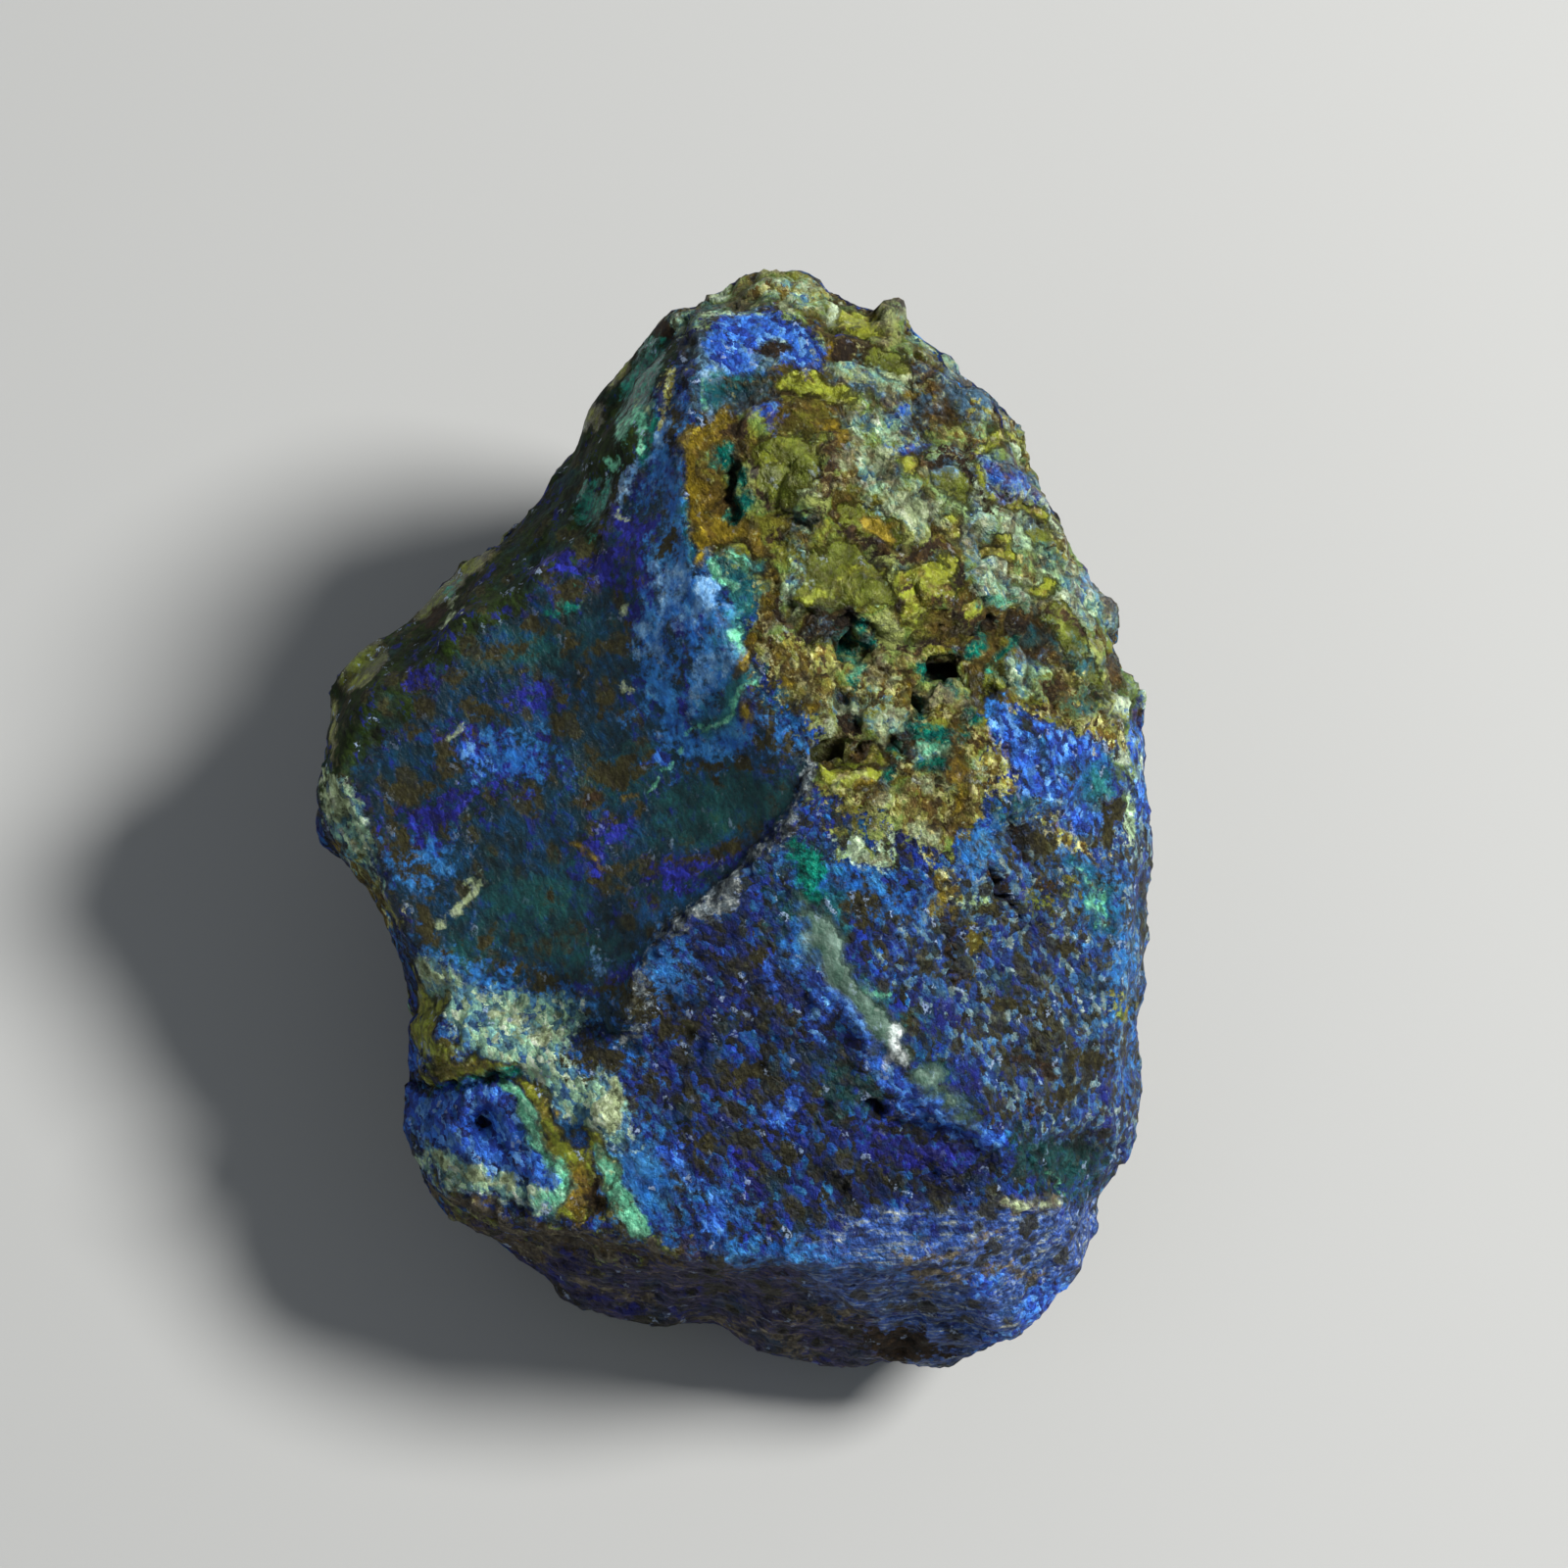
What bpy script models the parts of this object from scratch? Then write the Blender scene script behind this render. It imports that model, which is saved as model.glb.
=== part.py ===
"""A broken lump of azurite and malachite, lying on its widest fracture face.

The lump is drawn as it is looked at, in millimetres: u runs right, v runs up the
face and w comes out towards the eye. LEAN then lays it back on its resting face,
with +X right, +Y over the top of the face and +Z up. The origin is the centre of
the box that holds it, on the surface that it rests on.
"""

import math

import bmesh
import bpy
from mathutils import Matrix, Vector, noise
from mathutils.geometry import delaunay_2d_cdt

MM = 0.001
NODE_NAME = "azurite_malachite_stone"

# How the lump lies: the drawn face leans this far from level, this high off the surface.
LEAN = math.radians(18.0)
LIFT = 16.0
WALL_MIDDLE = (0.5, -0.5)
BELLY_SCALE = 0.975
BELLY_DROP = 0.40
FOOT_SCALE = 0.74
FOOT_BELOW = 1.2

# How fine the shell is while it is worked, and how much of it is kept at the end.
GRAIN = 0.46
SOFTENING_ROUNDS = 2
SOFTENING = 0.5
KEPT_TRIANGLES = 9700

# The widest line of the lump, clockwise from its top, as (u, v, w).
OUTLINE = {
    "top lump": [
        (-1.6, 26.1, -2.0), (0.4, 27.0, -2.2), (2.0, 27.4, -2.2), (3.7, 27.3, -2.2),
        (5.2, 26.2, -1.8), (6.7, 25.2, -1.4),
    ],
    "nib": [(7.1, 25.8, -1.2), (8.2, 26.0, -1.2), (9.2, 24.8, -1.4)],
    "right shoulder": [
        (10.6, 23.3, -1.8), (12.4, 22.0, -2.0), (14.8, 19.5, -2.0), (15.7, 16.7, -1.8),
        (17.3, 13.2, -1.6), (18.9, 10.0, -1.4), (19.3, 7.6, -1.0),
    ],
    "right edge": [
        (20.3, 6.9, -0.6), (20.6, 5.0, -0.8), (20.5, 0.7, -1.4), (20.9, -3.2, -1.6),
        (20.5, -5.8, -1.6), (20.8, -9.2, -1.6), (20.1, -11.8, -1.8), (20.0, -15.6, -2.0),
        (18.9, -18.5, -2.2),
    ],
    "lower right corner": [
        (18.3, -21.1, -2.6), (17.2, -23.2, -3.0), (15.8, -25.6, -3.4), (13.8, -27.0, -3.6),
        (11.8, -27.5, -3.8),
    ],
    "lower edge": [
        (9.0, -27.4, -4.0), (5.1, -26.9, -4.0), (2.4, -26.2, -3.8), (-0.8, -24.4, -3.4),
        (-3.4, -24.7, -3.6), (-6.0, -24.5, -3.6), (-8.3, -23.1, -3.2), (-9.5, -21.7, -2.6),
    ],
    "lower left corner": [
        (-11.3, -20.7, -2.2), (-14.3, -18.9, -1.8), (-15.8, -17.0, -1.6),
        (-16.6, -14.6, -1.6), (-15.9, -12.2, -1.4), (-16.0, -8.8, -1.2),
    ],
    "left hollow": [(-16.9, -5.4, -1.4), (-18.5, -2.6, -1.8), (-20.1, -0.1, -2.2), (-20.8, 1.8, -2.6)],
    "left corner": [(-20.4, 5.0, -3.0), (-19.2, 8.0, -3.4), (-17.6, 9.6, -3.6)],
    "upper left slope": [
        (-15.6, 10.7, -3.8), (-13.6, 12.3, -4.0), (-11.2, 14.8, -4.0), (-9.4, 17.1, -3.8),
        (-8.3, 19.4, -3.6), (-6.9, 21.3, -3.2), (-4.9, 23.6, -2.8), (-3.4, 25.1, -2.4),
    ],
}

# The edges where two fracture faces of the front meet, as (u, v, w).
EDGES = {
    "long edge": [
        (-1.3, 24.4, 3.4), (-1.8, 21.1, 5.4), (-2.4, 18.0, 6.9), (-2.3, 14.5, 8.2),
        (-1.4, 10.7, 9.4), (0.8, 6.9, 10.5), (3.4, 3.4, 11.4), (4.0, 2.6, 11.6),
    ],
    "crest": [
        (4.0, 2.6, 11.6), (3.6, 1.1, 11.4), (2.0, -1.2, 10.8), (-0.3, -3.4, 10.0),
        (-2.7, -4.9, 9.1), (-4.4, -7.0, 8.2), (-5.5, -9.3, 7.2),
    ],
    "vein": [
        (2.0, -1.2, 10.8), (4.2, -5.0, 10.5), (5.9, -7.9, 10.2), (8.0, -11.0, 9.7),
        (10.1, -13.1, 8.9), (12.5, -14.7, 7.8), (14.6, -16.4, 6.0),
    ],
    "right ridge": [
        (4.0, 2.6, 11.6), (7.0, 2.6, 10.8), (9.9, 3.2, 9.7), (14.9, 4.6, 7.0), (18.6, 6.2, 3.0),
    ],
    "lower front edge": [
        (-14.4, -17.9, 1.2), (-11.8, -19.2, 2.9), (-8.9, -19.7, 4.4), (-5.1, -19.9, 5.6),
        (-2.2, -20.4, 6.2), (1.1, -20.8, 6.7), (4.9, -21.0, 6.8), (8.7, -20.8, 6.5),
        (12.5, -20.2, 5.6), (15.6, -19.6, 3.8),
    ],
    "upper left front edge": [
        (-2.4, 24.7, 1.8), (-3.1, 22.4, 3.4), (-4.0, 19.7, 4.2), (-5.4, 16.9, 4.3),
        (-7.4, 14.2, 4.0), (-10.2, 11.9, 3.6), (-13.3, 9.6, 3.0), (-15.7, 7.8, 2.3),
        (-17.9, 5.8, 1.3), (-19.2, 3.6, 0.4), (-19.4, 1.9, 0.2),
    ],
    "left front edge": [(-19.4, 1.9, 0.2), (-17.8, -1.2, 0.9), (-16.4, -4.1, 1.4)],
    "valley above the crust": [
        (-15.6, -6.9, 1.6), (-13.2, -7.9, 2.7), (-9.9, -8.9, 3.9), (-7.2, -9.8, 5.1),
        (-5.5, -10.5, 6.2),
    ],
    "right shoulder line": [
        (8.9, 23.6, 2.0), (11.8, 20.9, 2.4), (13.9, 18.4, 2.8), (15.0, 15.8, 3.0), (16.6, 12.4, 3.0),
        (17.8, 9.6, 3.0),
    ],
    "right shoulder below": [
        (19.6, 3.6, 2.6), (19.4, 0.2, 2.7), (19.5, -3.4, 2.8), (19.1, -7.6, 2.9),
        (18.7, -11.6, 2.6), (18.3, -15.2, 2.2), (17.2, -18.2, 2.0),
    ],
}

# Single points on the front faces, as (u, v, w).
FACE_POINTS = {
    "left face": [
        (-9.0, 4.2, 5.3), (-13.4, 1.6, 3.4), (-11.0, -3.2, 4.5), (-5.6, -2.8, 7.4), (-5.0, 7.4, 7.3),
    ],
    "crust": [
        (-14.6, -10.3, 2.9), (-11.8, -10.6, 4.3), (-8.4, -11.4, 5.7), (-6.4, -13.8, 6.5),
        (-5.0, -16.4, 6.3), (-13.9, -14.8, 2.5), (-10.6, -15.2, 4.0), (-9.4, -17.8, 4.6),
    ],
    "lower face": [(-0.6, -9.6, 8.9), (2.6, -14.8, 7.8), (-1.4, -16.2, 7.2), (7.6, -17.0, 7.8)],
    "right face": [(10.6, -3.6, 8.6), (13.4, -9.0, 7.1), (15.8, -2.4, 6.2), (16.6, -12.2, 5.0)],
    "upper face": [
        (1.6, 25.4, 2.4), (4.6, 24.0, 3.8), (3.0, 19.4, 6.6), (7.4, 19.0, 5.9), (11.6, 17.4, 4.9),
        (4.6, 13.4, 8.6), (9.6, 12.4, 7.4), (13.8, 10.4, 5.6), (8.4, 7.4, 9.2),
    ],
    "lower wall": [(13.9, -24.2, 1.6), (6.4, -24.2, 1.2), (16.4, -21.4, 1.4)],
}

# The edges that a chip has left standing proud, as (half width, height).
PROUD_EDGES = {
    "long edge": (1.4, 0.28),
    "crest": (1.0, 0.60),
    "vein": (1.1, 0.15),
    "lower front edge": (1.0, 0.30),
    "upper left front edge": (0.9, 0.30),
    "right ridge": (1.2, 0.25),
}

# Flat breaks on the sides and back, as a point that each passes through and the way it faces, in X, Y, Z.
BREAKS = {
    "back left": ((-9.4, 18.4, 9.0), (-0.66, 0.68, -0.30)),
    "back left, low": ((-8.0, 15.6, 3.0), (-0.50, 0.52, -0.69)),
    "back right": ((14.8, 15.5, 9.0), (0.80, 0.50, -0.30)),
    "back right, low": ((12.0, 15.0, 3.0), (0.42, 0.56, -0.71)),
    "back middle": ((2.0, 25.2, 10.0), (-0.10, 0.97, -0.20)),
    "back middle, low": ((2.0, 21.6, 2.6), (0.12, 0.66, -0.74)),
    "right": ((19.6, 0.5, 8.0), (0.96, 0.10, -0.26)),
    "right low": ((17.6, -5.0, 3.6), (0.70, -0.12, -0.70)),
    "right lower": ((16.4, -17.2, 4.0), (0.66, -0.56, -0.50)),
    "front low": ((4.4, -23.6, 2.9), (0.10, -0.72, -0.69)),
    "front left low": ((-8.0, -20.0, 3.6), (-0.40, -0.70, -0.59)),
    "left corner low": ((-14.2, -14.8, 4.0), (-0.74, -0.36, -0.57)),
    "left low": ((-16.6, -2.0, 5.0), (-0.82, -0.10, -0.56)),
    "left upper": ((-16.8, 7.0, 7.0), (-0.80, 0.22, -0.56)),
}

# Shell-like breaks in the sides and back, each a ball that bites in, as (x, y, z, radius).
BITES = {
    "front": (-2.6, -33.4, 1.6, 10.6),
    "front right": (12.6, -35.0, 5.2, 9.6),
    "right": (28.6, -7.0, 6.8, 9.4),
    "right back": (26.2, 12.8, 10.6, 9.6),
    "back": (6.8, 34.6, 11.2, 10.0),
    "back left": (-16.4, 24.6, 8.4, 9.6),
    "left": (-26.6, -6.4, 4.4, 10.0),
    "left front": (-21.8, -19.0, 3.6, 8.0),
}

# Shell-like flake scars on the front, as (u, v, radius, depth).
SCARS = {
    "left face": (-9.6, 2.6, 10.0, 0.95),
    "left face, below": (-10.4, -4.4, 5.4, 0.45),
    "lower face": (1.4, -13.8, 7.6, 0.55),
    "under the crest": (-2.2, -9.0, 4.6, 0.35),
    "crescent": (9.2, -16.0, 3.8, 1.10),
    "right of the vein": (13.0, -7.4, 5.0, 0.25),
    "above the crest": (-3.0, 1.4, 5.6, 0.75),
    "beside the long edge": (1.0, 15.2, 3.6, 0.50),
    "lower wall": (-5.4, -22.6, 3.4, 0.60),
    "top": (5.2, 21.8, 3.0, 0.50),
    "below the ledge": (7.4, 5.9, 4.6, 0.85),
    "shoulder": (12.6, 19.6, 3.6, 0.40),
    "right face, top": (15.2, 1.4, 4.0, 0.35),
}

# Cavities on the front, as (u, v, radius, depth).
CAVITIES = {
    "by the apex": (4.9, 3.9, 1.5, 1.7),
    "beside it": (6.4, 3.4, 1.1, 1.0),
    "upper vug": (9.9, 7.3, 1.3, 1.6),
    "lower vug": (9.2, 5.5, 1.0, 1.1),
    "small vug": (5.9, 8.4, 0.9, 0.7),
    "blue hollow": (-12.1, -14.6, 1.4, 0.8),
    "notch at the top": (4.9, 24.6, 0.9, 0.8),
}

# Crevices on the front, as a line of (u, v) points with its half width and its depth.
CREVICES = {
    "under the ledge": ([(2.0, 11.0), (4.0, 9.4), (6.3, 8.8), (9.7, 9.3), (12.5, 9.6)], 0.90, 0.75),
    "beside the long edge": ([(-0.3, 17.8), (-0.1, 14.4)], 0.75, 0.70),
    "across the crust": ([(-15.9, -12.8), (-12.7, -12.7), (-9.6, -12.1)], 0.80, 0.60),
}

# Lumps on the front, as (u, v, radius, height).
LUMPS = {
    "upper ledge": (6.2, 11.3, 2.6, 0.95),
    "ledge, right": (10.6, 11.6, 2.4, 0.80),
    "olive boss": (4.2, 16.8, 2.8, 0.70),
    "olive boss, right": (8.6, 16.0, 2.2, 0.50),
    "ochre ridge, top": (-0.9, 16.9, 1.2, 0.55),
    "ochre ridge, middle": (0.2, 12.6, 1.3, 0.55),
    "ochre ridge, low": (2.4, 8.2, 1.6, 0.55),
    "by the shoulder": (13.4, 15.9, 1.8, 0.50),
    "crust knob": (-6.6, -14.0, 1.8, 0.65),
    "crust knob, left": (-8.4, -10.8, 1.5, 0.50),
    "blue corner": (-12.8, -16.4, 1.6, 0.45),
    "nugget in the cavity": (5.5, 1.7, 1.1, 0.60),
    "lip of the vugs": (7.9, 7.7, 1.0, 0.50),
}

# The break's small flat chips and the slow wave under them: how many to a millimetre and how high.
CHIP_SCALE = 0.21
CHIP_TILT = 0.24
CHIP_HEIGHT = 0.45
CHIP_EDGE_WIDTH = 0.4
CHIP_EDGE_DEPTH = 0.06
CHIP_SHUFFLE = 9.0
WAVE_SCALE = 0.20
WAVE_HEIGHT = 0.55
WAVE_FALL = 0.9
WAVE_GAP = 2.0
WAVE_OCTAVES = 3

# The share of that roughness that shows: in general, on the sides, and in areas as (u, v, radius, share).
ROUGHNESS = 0.40
SIDE_ROUGHNESS = 1.05
ROUGH_AREAS = {
    "upper face": (7.6, 12.0, 11.9, 1.00),
    "cavities": (7.4, 4.6, 6.2, 1.00),
    "right face": (13.6, -4.6, 10.0, 0.75),
    "crust": (-9.6, -12.8, 6.8, 0.85),
    "left face": (-9.6, 1.4, 12.5, 0.04),
    "lower face": (0.6, -12.6, 9.4, 0.20),
    "upper left slope": (-8.0, 16.5, 6.2, 0.80),
}

# Where the front's relief gives way to the sides', as the cosine of the slope that is seen.
SIDE_UP_TO = 0.24
FRONT_FROM = 0.64


def clear_scene():
    for old in list(bpy.data.objects):
        bpy.data.objects.remove(old)


def lay_down(point):
    """A drawn point (u, v, w) in the lump's own X, Y and Z, still in millimetres."""
    return Matrix.Rotation(LEAN, 3, "X") @ Vector(point) + Vector((0.0, 0.0, LIFT))


def as_drawn(point):
    """A point in X, Y and Z as it was drawn, in u, v and w."""
    return Matrix.Rotation(-LEAN, 3, "X") @ (point - Vector((0.0, 0.0, LIFT)))


def front_skin(bm):
    """The fracture faces of the front, stretched between the outline and the edges."""
    rim = [point for stretch in OUTLINE.values() for point in stretch][::-1]
    points = list(rim)
    joined = []
    for edge in EDGES.values():
        first = len(points)
        points += edge
        joined += [(i, i + 1) for i in range(first, len(points) - 1)]
    points += [point for group in FACE_POINTS.values() for point in group]
    flat = [Vector(point[:2]) for point in points]
    whole_rim = [list(range(len(rim)))]
    corners, _, faces, sources, _, _ = delaunay_2d_cdt(flat, joined, whole_rim, 1, 1e-4)
    verts = [bm.verts.new(lay_down(points[sources[i][0]])) for i in range(len(corners))]
    for face in faces:
        bm.faces.new([verts[i] for i in face])


def drop_walls(bm):
    """The sides, drawn down from the outline to a belly and on to the foot, which is closed."""
    middle = Vector((*WALL_MIDDLE, 0.0))
    for scale, drop in ((BELLY_SCALE, BELLY_DROP), (FOOT_SCALE / BELLY_SCALE, 1.0)):
        open_edges = [edge for edge in bm.edges if edge.is_boundary]
        made = bmesh.ops.extrude_edge_only(bm, edges=open_edges)["geom"]
        for vert in (item for item in made if isinstance(item, bmesh.types.BMVert)):
            level = vert.co.z * (1.0 - drop) - FOOT_BELOW * drop
            vert.co = middle + (vert.co - middle) * scale
            vert.co.z = level
    foot = [edge for edge in bm.edges if edge.is_boundary]
    bmesh.ops.contextual_create(bm, geom=foot)


def even_shell(bm):
    """The same lump as one even shell of small faces, fine enough to be worked."""
    bmesh.ops.triangulate(bm, faces=bm.faces)
    bmesh.ops.recalc_face_normals(bm, faces=bm.faces)
    mesh = bpy.data.meshes.new("blocked out")
    bm.to_mesh(mesh)
    bm.free()
    block = bpy.data.objects.new("blocked out", mesh)
    bpy.context.collection.objects.link(block)
    remesh = block.modifiers.new("even shell", "REMESH")
    remesh.mode = "VOXEL"
    remesh.voxel_size = GRAIN
    graph = bpy.context.evaluated_depsgraph_get()
    worked = bmesh.new()
    worked.from_object(block, graph)
    bpy.data.objects.remove(block)
    return worked


def soften(bm):
    """The block's hard folds eased, as a broken stone's are."""
    for _ in range(SOFTENING_ROUNDS):
        bmesh.ops.smooth_vert(
            bm, verts=bm.verts, factor=SOFTENING, use_axis_x=True, use_axis_y=True, use_axis_z=True
        )


def shave(bm):
    """Each flat break and each bite takes off what stands past it."""
    for place, facing in BREAKS.values():
        place = Vector(place)
        facing = Vector(facing).normalized()
        for vert in bm.verts:
            past = (vert.co - place).dot(facing)
            if past > 0.0:
                vert.co -= facing * past
    for x, y, z, radius in BITES.values():
        ball = Vector((x, y, z))
        for vert in bm.verts:
            reach = vert.co - ball
            if reach.length < radius:
                vert.co = ball + reach.normalized() * radius


def fade(distance, reach):
    """1 at a feature's middle and 0 at its reach, level at both."""
    share = min(max(1.0 - distance / reach, 0.0), 1.0)
    return share * share * (3.0 - 2.0 * share)


def distance_to_line(spot, line):
    """How far a drawn spot is from a line of drawn points."""
    nearest = math.inf
    for start, end in zip(line, line[1:]):
        start, end = Vector(start), Vector(end)
        run = end - start
        along = min(max((spot - start).dot(run) / run.length_squared, 0.0), 1.0)
        nearest = min(nearest, (spot - start - run * along).length)
    return nearest


def relief(spot):
    """How far the front stands out, in millimetres, at a drawn spot (u, v)."""
    height = 0.0
    for u, v, radius, depth in SCARS.values():
        share = (spot - Vector((u, v))).length / radius
        height -= depth * max(1.0 - share * share, 0.0)
    for u, v, radius, depth in CAVITIES.values():
        height -= depth * fade((spot - Vector((u, v))).length, radius)
    for line, half_width, depth in CREVICES.values():
        height -= depth * fade(distance_to_line(spot, line), half_width)
    for u, v, radius, tall in LUMPS.values():
        height += tall * fade((spot - Vector((u, v))).length, radius)
    proud = 0.0
    for name, (half_width, tall) in PROUD_EDGES.items():
        line = [point[:2] for point in EDGES[name]]
        proud = max(proud, tall * fade(distance_to_line(spot, line), half_width))
    return height + proud


def roughness(spot):
    """How rough the front is at a drawn spot, from 0 for smooth to 1 for the roughest."""
    rough = ROUGHNESS
    for u, v, radius, own in ROUGH_AREAS.values():
        rough += (own - rough) * fade((spot - Vector((u, v))).length, radius)
    return rough


def chips(place):
    """Small flat chips, each leaning its own way, over a slow wave, in millimetres."""
    near, middles = noise.voronoi(place * CHIP_SCALE)
    lean = noise.cell_vector(middles[0] * CHIP_SHUFFLE) - Vector((0.5, 0.5, 0.5))
    edge = min((near[1] - near[0]) / CHIP_EDGE_WIDTH, 1.0)
    chip = lean.dot(place - middles[0] / CHIP_SCALE) * CHIP_TILT + CHIP_EDGE_DEPTH * (edge - 1.0)
    wave = noise.fractal(place * WAVE_SCALE, WAVE_FALL, WAVE_GAP, WAVE_OCTAVES)
    return max(min(chip, CHIP_HEIGHT), -CHIP_HEIGHT) + WAVE_HEIGHT * wave


def work_surface(bm):
    """Scars, cavities, lumps and crevices on the front, and the roughness of the break all over."""
    bm.normal_update()
    eye = Matrix.Rotation(LEAN, 3, "X") @ Vector((0.0, 0.0, 1.0))
    moves = []
    for vert in bm.verts:
        spot = as_drawn(vert.co).to_2d()
        seen = vert.normal.dot(eye)
        front = min(max((seen - SIDE_UP_TO) / (FRONT_FROM - SIDE_UP_TO), 0.0), 1.0)
        rough = SIDE_ROUGHNESS + (roughness(spot) - SIDE_ROUGHNESS) * front
        above_foot = min(max(vert.co.z / FOOT_BELOW + 0.5, 0.0), 1.0)
        moves.append(eye * relief(spot) * front + vert.normal * rough * above_foot * chips(vert.co))
    for vert, move in zip(bm.verts, moves):
        vert.co += move


def thin_out(bm):
    """Only as many triangles as the shape needs."""
    mesh = bpy.data.meshes.new("worked")
    bm.to_mesh(mesh)
    bm.free()
    lump = bpy.data.objects.new("worked", mesh)
    bpy.context.collection.objects.link(lump)
    triangles = sum(len(face.vertices) - 2 for face in mesh.polygons)
    thin = lump.modifiers.new("thin out", "DECIMATE")
    thin.ratio = KEPT_TRIANGLES / triangles
    thin.use_collapse_triangulate = True
    graph = bpy.context.evaluated_depsgraph_get()
    thinned = bmesh.new()
    thinned.from_object(lump, graph)
    bpy.data.objects.remove(lump)
    return thinned


def flatten_foot(bm):
    """The resting face: everything under the surface cut away and closed flat."""
    everything = list(bm.verts) + list(bm.edges) + list(bm.faces)
    bmesh.ops.bisect_plane(
        bm, geom=everything, dist=1e-4, plane_co=(0, 0, 0), plane_no=(0, 0, -1), clear_outer=True
    )
    bmesh.ops.holes_fill(bm, edges=[edge for edge in bm.edges if edge.is_boundary])
    bmesh.ops.triangulate(bm, faces=[face for face in bm.faces if len(face.verts) > 3])
    bmesh.ops.recalc_face_normals(bm, faces=bm.faces)


def centre(bm):
    """The origin set under the middle of the lump's box, and millimetres made metres."""
    for axis in (0, 1):
        ends = [vert.co[axis] for vert in bm.verts]
        middle = (min(ends) + max(ends)) / 2.0
        for vert in bm.verts:
            vert.co[axis] -= middle
    bmesh.ops.scale(bm, verts=bm.verts, vec=(MM, MM, MM))


def stone_material():
    material = bpy.data.materials.new("azurite with malachite")
    material.use_nodes = True
    shader = material.node_tree.nodes["Principled BSDF"]
    shader.inputs["Base Color"].default_value = (0.02, 0.06, 0.28, 1.0)
    shader.inputs["Roughness"].default_value = 0.62
    shader.inputs["Metallic"].default_value = 0.0
    return material


def build_stone():
    bm = bmesh.new()
    front_skin(bm)
    drop_walls(bm)
    bm = even_shell(bm)
    soften(bm)
    shave(bm)
    work_surface(bm)
    bm = thin_out(bm)
    flatten_foot(bm)
    centre(bm)
    mesh = bpy.data.meshes.new(NODE_NAME)
    bm.to_mesh(mesh)
    bm.free()
    stone = bpy.data.objects.new(NODE_NAME, mesh)
    stone.data.materials.append(stone_material())
    bpy.context.collection.objects.link(stone)


clear_scene()
build_stone()
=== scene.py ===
import math

import bmesh
import bpy
import numpy as np
from mathutils import Matrix, Vector, noise
from mathutils.bvhtree import BVHTree


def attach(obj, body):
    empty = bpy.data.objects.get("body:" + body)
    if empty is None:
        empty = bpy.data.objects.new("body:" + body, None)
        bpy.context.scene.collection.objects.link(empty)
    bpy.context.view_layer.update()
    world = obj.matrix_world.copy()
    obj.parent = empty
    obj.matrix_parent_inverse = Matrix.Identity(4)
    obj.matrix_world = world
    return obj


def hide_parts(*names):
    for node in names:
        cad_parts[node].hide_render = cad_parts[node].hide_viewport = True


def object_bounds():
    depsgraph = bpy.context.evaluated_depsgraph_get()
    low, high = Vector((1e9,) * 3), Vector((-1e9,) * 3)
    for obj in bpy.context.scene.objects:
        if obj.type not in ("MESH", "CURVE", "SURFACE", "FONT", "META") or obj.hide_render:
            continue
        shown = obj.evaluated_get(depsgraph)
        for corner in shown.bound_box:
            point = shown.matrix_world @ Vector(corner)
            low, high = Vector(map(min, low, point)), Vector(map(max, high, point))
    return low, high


# The stone is drawn in millimetres as it is looked at: u runs right, v up its face and w towards the eye.

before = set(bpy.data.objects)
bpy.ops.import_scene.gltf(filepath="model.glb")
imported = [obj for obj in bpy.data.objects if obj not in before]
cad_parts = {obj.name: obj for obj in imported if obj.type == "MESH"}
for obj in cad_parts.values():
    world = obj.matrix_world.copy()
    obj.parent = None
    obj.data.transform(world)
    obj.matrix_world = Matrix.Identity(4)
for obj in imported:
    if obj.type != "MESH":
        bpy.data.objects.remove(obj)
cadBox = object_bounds()
print("frame loaded")

shape = {
    "node": "azurite_malachite_stone",
    "slot": "azurite_malachite",
    "lean": 18.0,                # degrees that the drawn face leans back
    "lift": 16.0,                # height of the drawn middle over the surface
    "middle": (-0.09, 1.15),     # the box's middle on the drawn stone
    "shell": 0.46,               # size of the shell's faces, halved on the face that is looked at
    "easing": 3,                 # rounds of smoothing before the fine relief
    "fineFrom": 0.12,            # cosine of the slope where the shell's faces begin to be halved
    "crisp": 0.8,                # how far the rough breaks go back to the solid's edges
    "calmFrom": 0.4,             # how deep in the smooth face that ends, and over what width
    "calmOver": 1.6,
    "frontFrom": -0.08,          # cosine of the slope where the drawn patches begin to show
    "frontFull": 0.20,           # and where they show in full
    "wander": 0.90,              # how far a patch's edge strays from its drawn line
    "wanderSizes": (2.4, 0.8),   # of the slow and the quick strays
    "deepening": 0.9,            # how fast the depth grows into a patch round the stone
    "absent": -3.0,              # the depth there of a mineral that is only on the face
    "deepest": 4.0,              # the depth in a mineral that is kept at most
    "footClear": 0.35,           # height under which the resting face stays flat
}

# Breaks between the green blocks, both dark streaks and cracks of the relief. The dark streaks are partly
# brown between the blocks and partly painted shadow in the cracks and under the small ledges.
breakLines = {
    "overCavities": [
        (1.9, 10.8), (3.0, 9.9), (4.0, 8.9), (5.0, 9.5), (5.8, 9.9), (7.2, 9.2), (8.6, 8.9), (10.4, 9.4),
        (12.4, 9.7), (14.0, 9.6),
    ],
    "underTopBlocks": [(5.0, 14.2), (6.4, 13.6), (7.6, 13.2), (9.0, 13.6)],
    "roundBigBlock": [(0.8, 17.8), (0.9, 16.2), (1.6, 15.4), (2.9, 15.0), (4.6, 15.2)],
    "besideBigBlock": [(4.4, 18.4), (4.8, 17.4), (4.9, 16.2)],
    "highRight": [(9.4, 17.8), (10.6, 17.4), (11.8, 17.8)],
}

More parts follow.
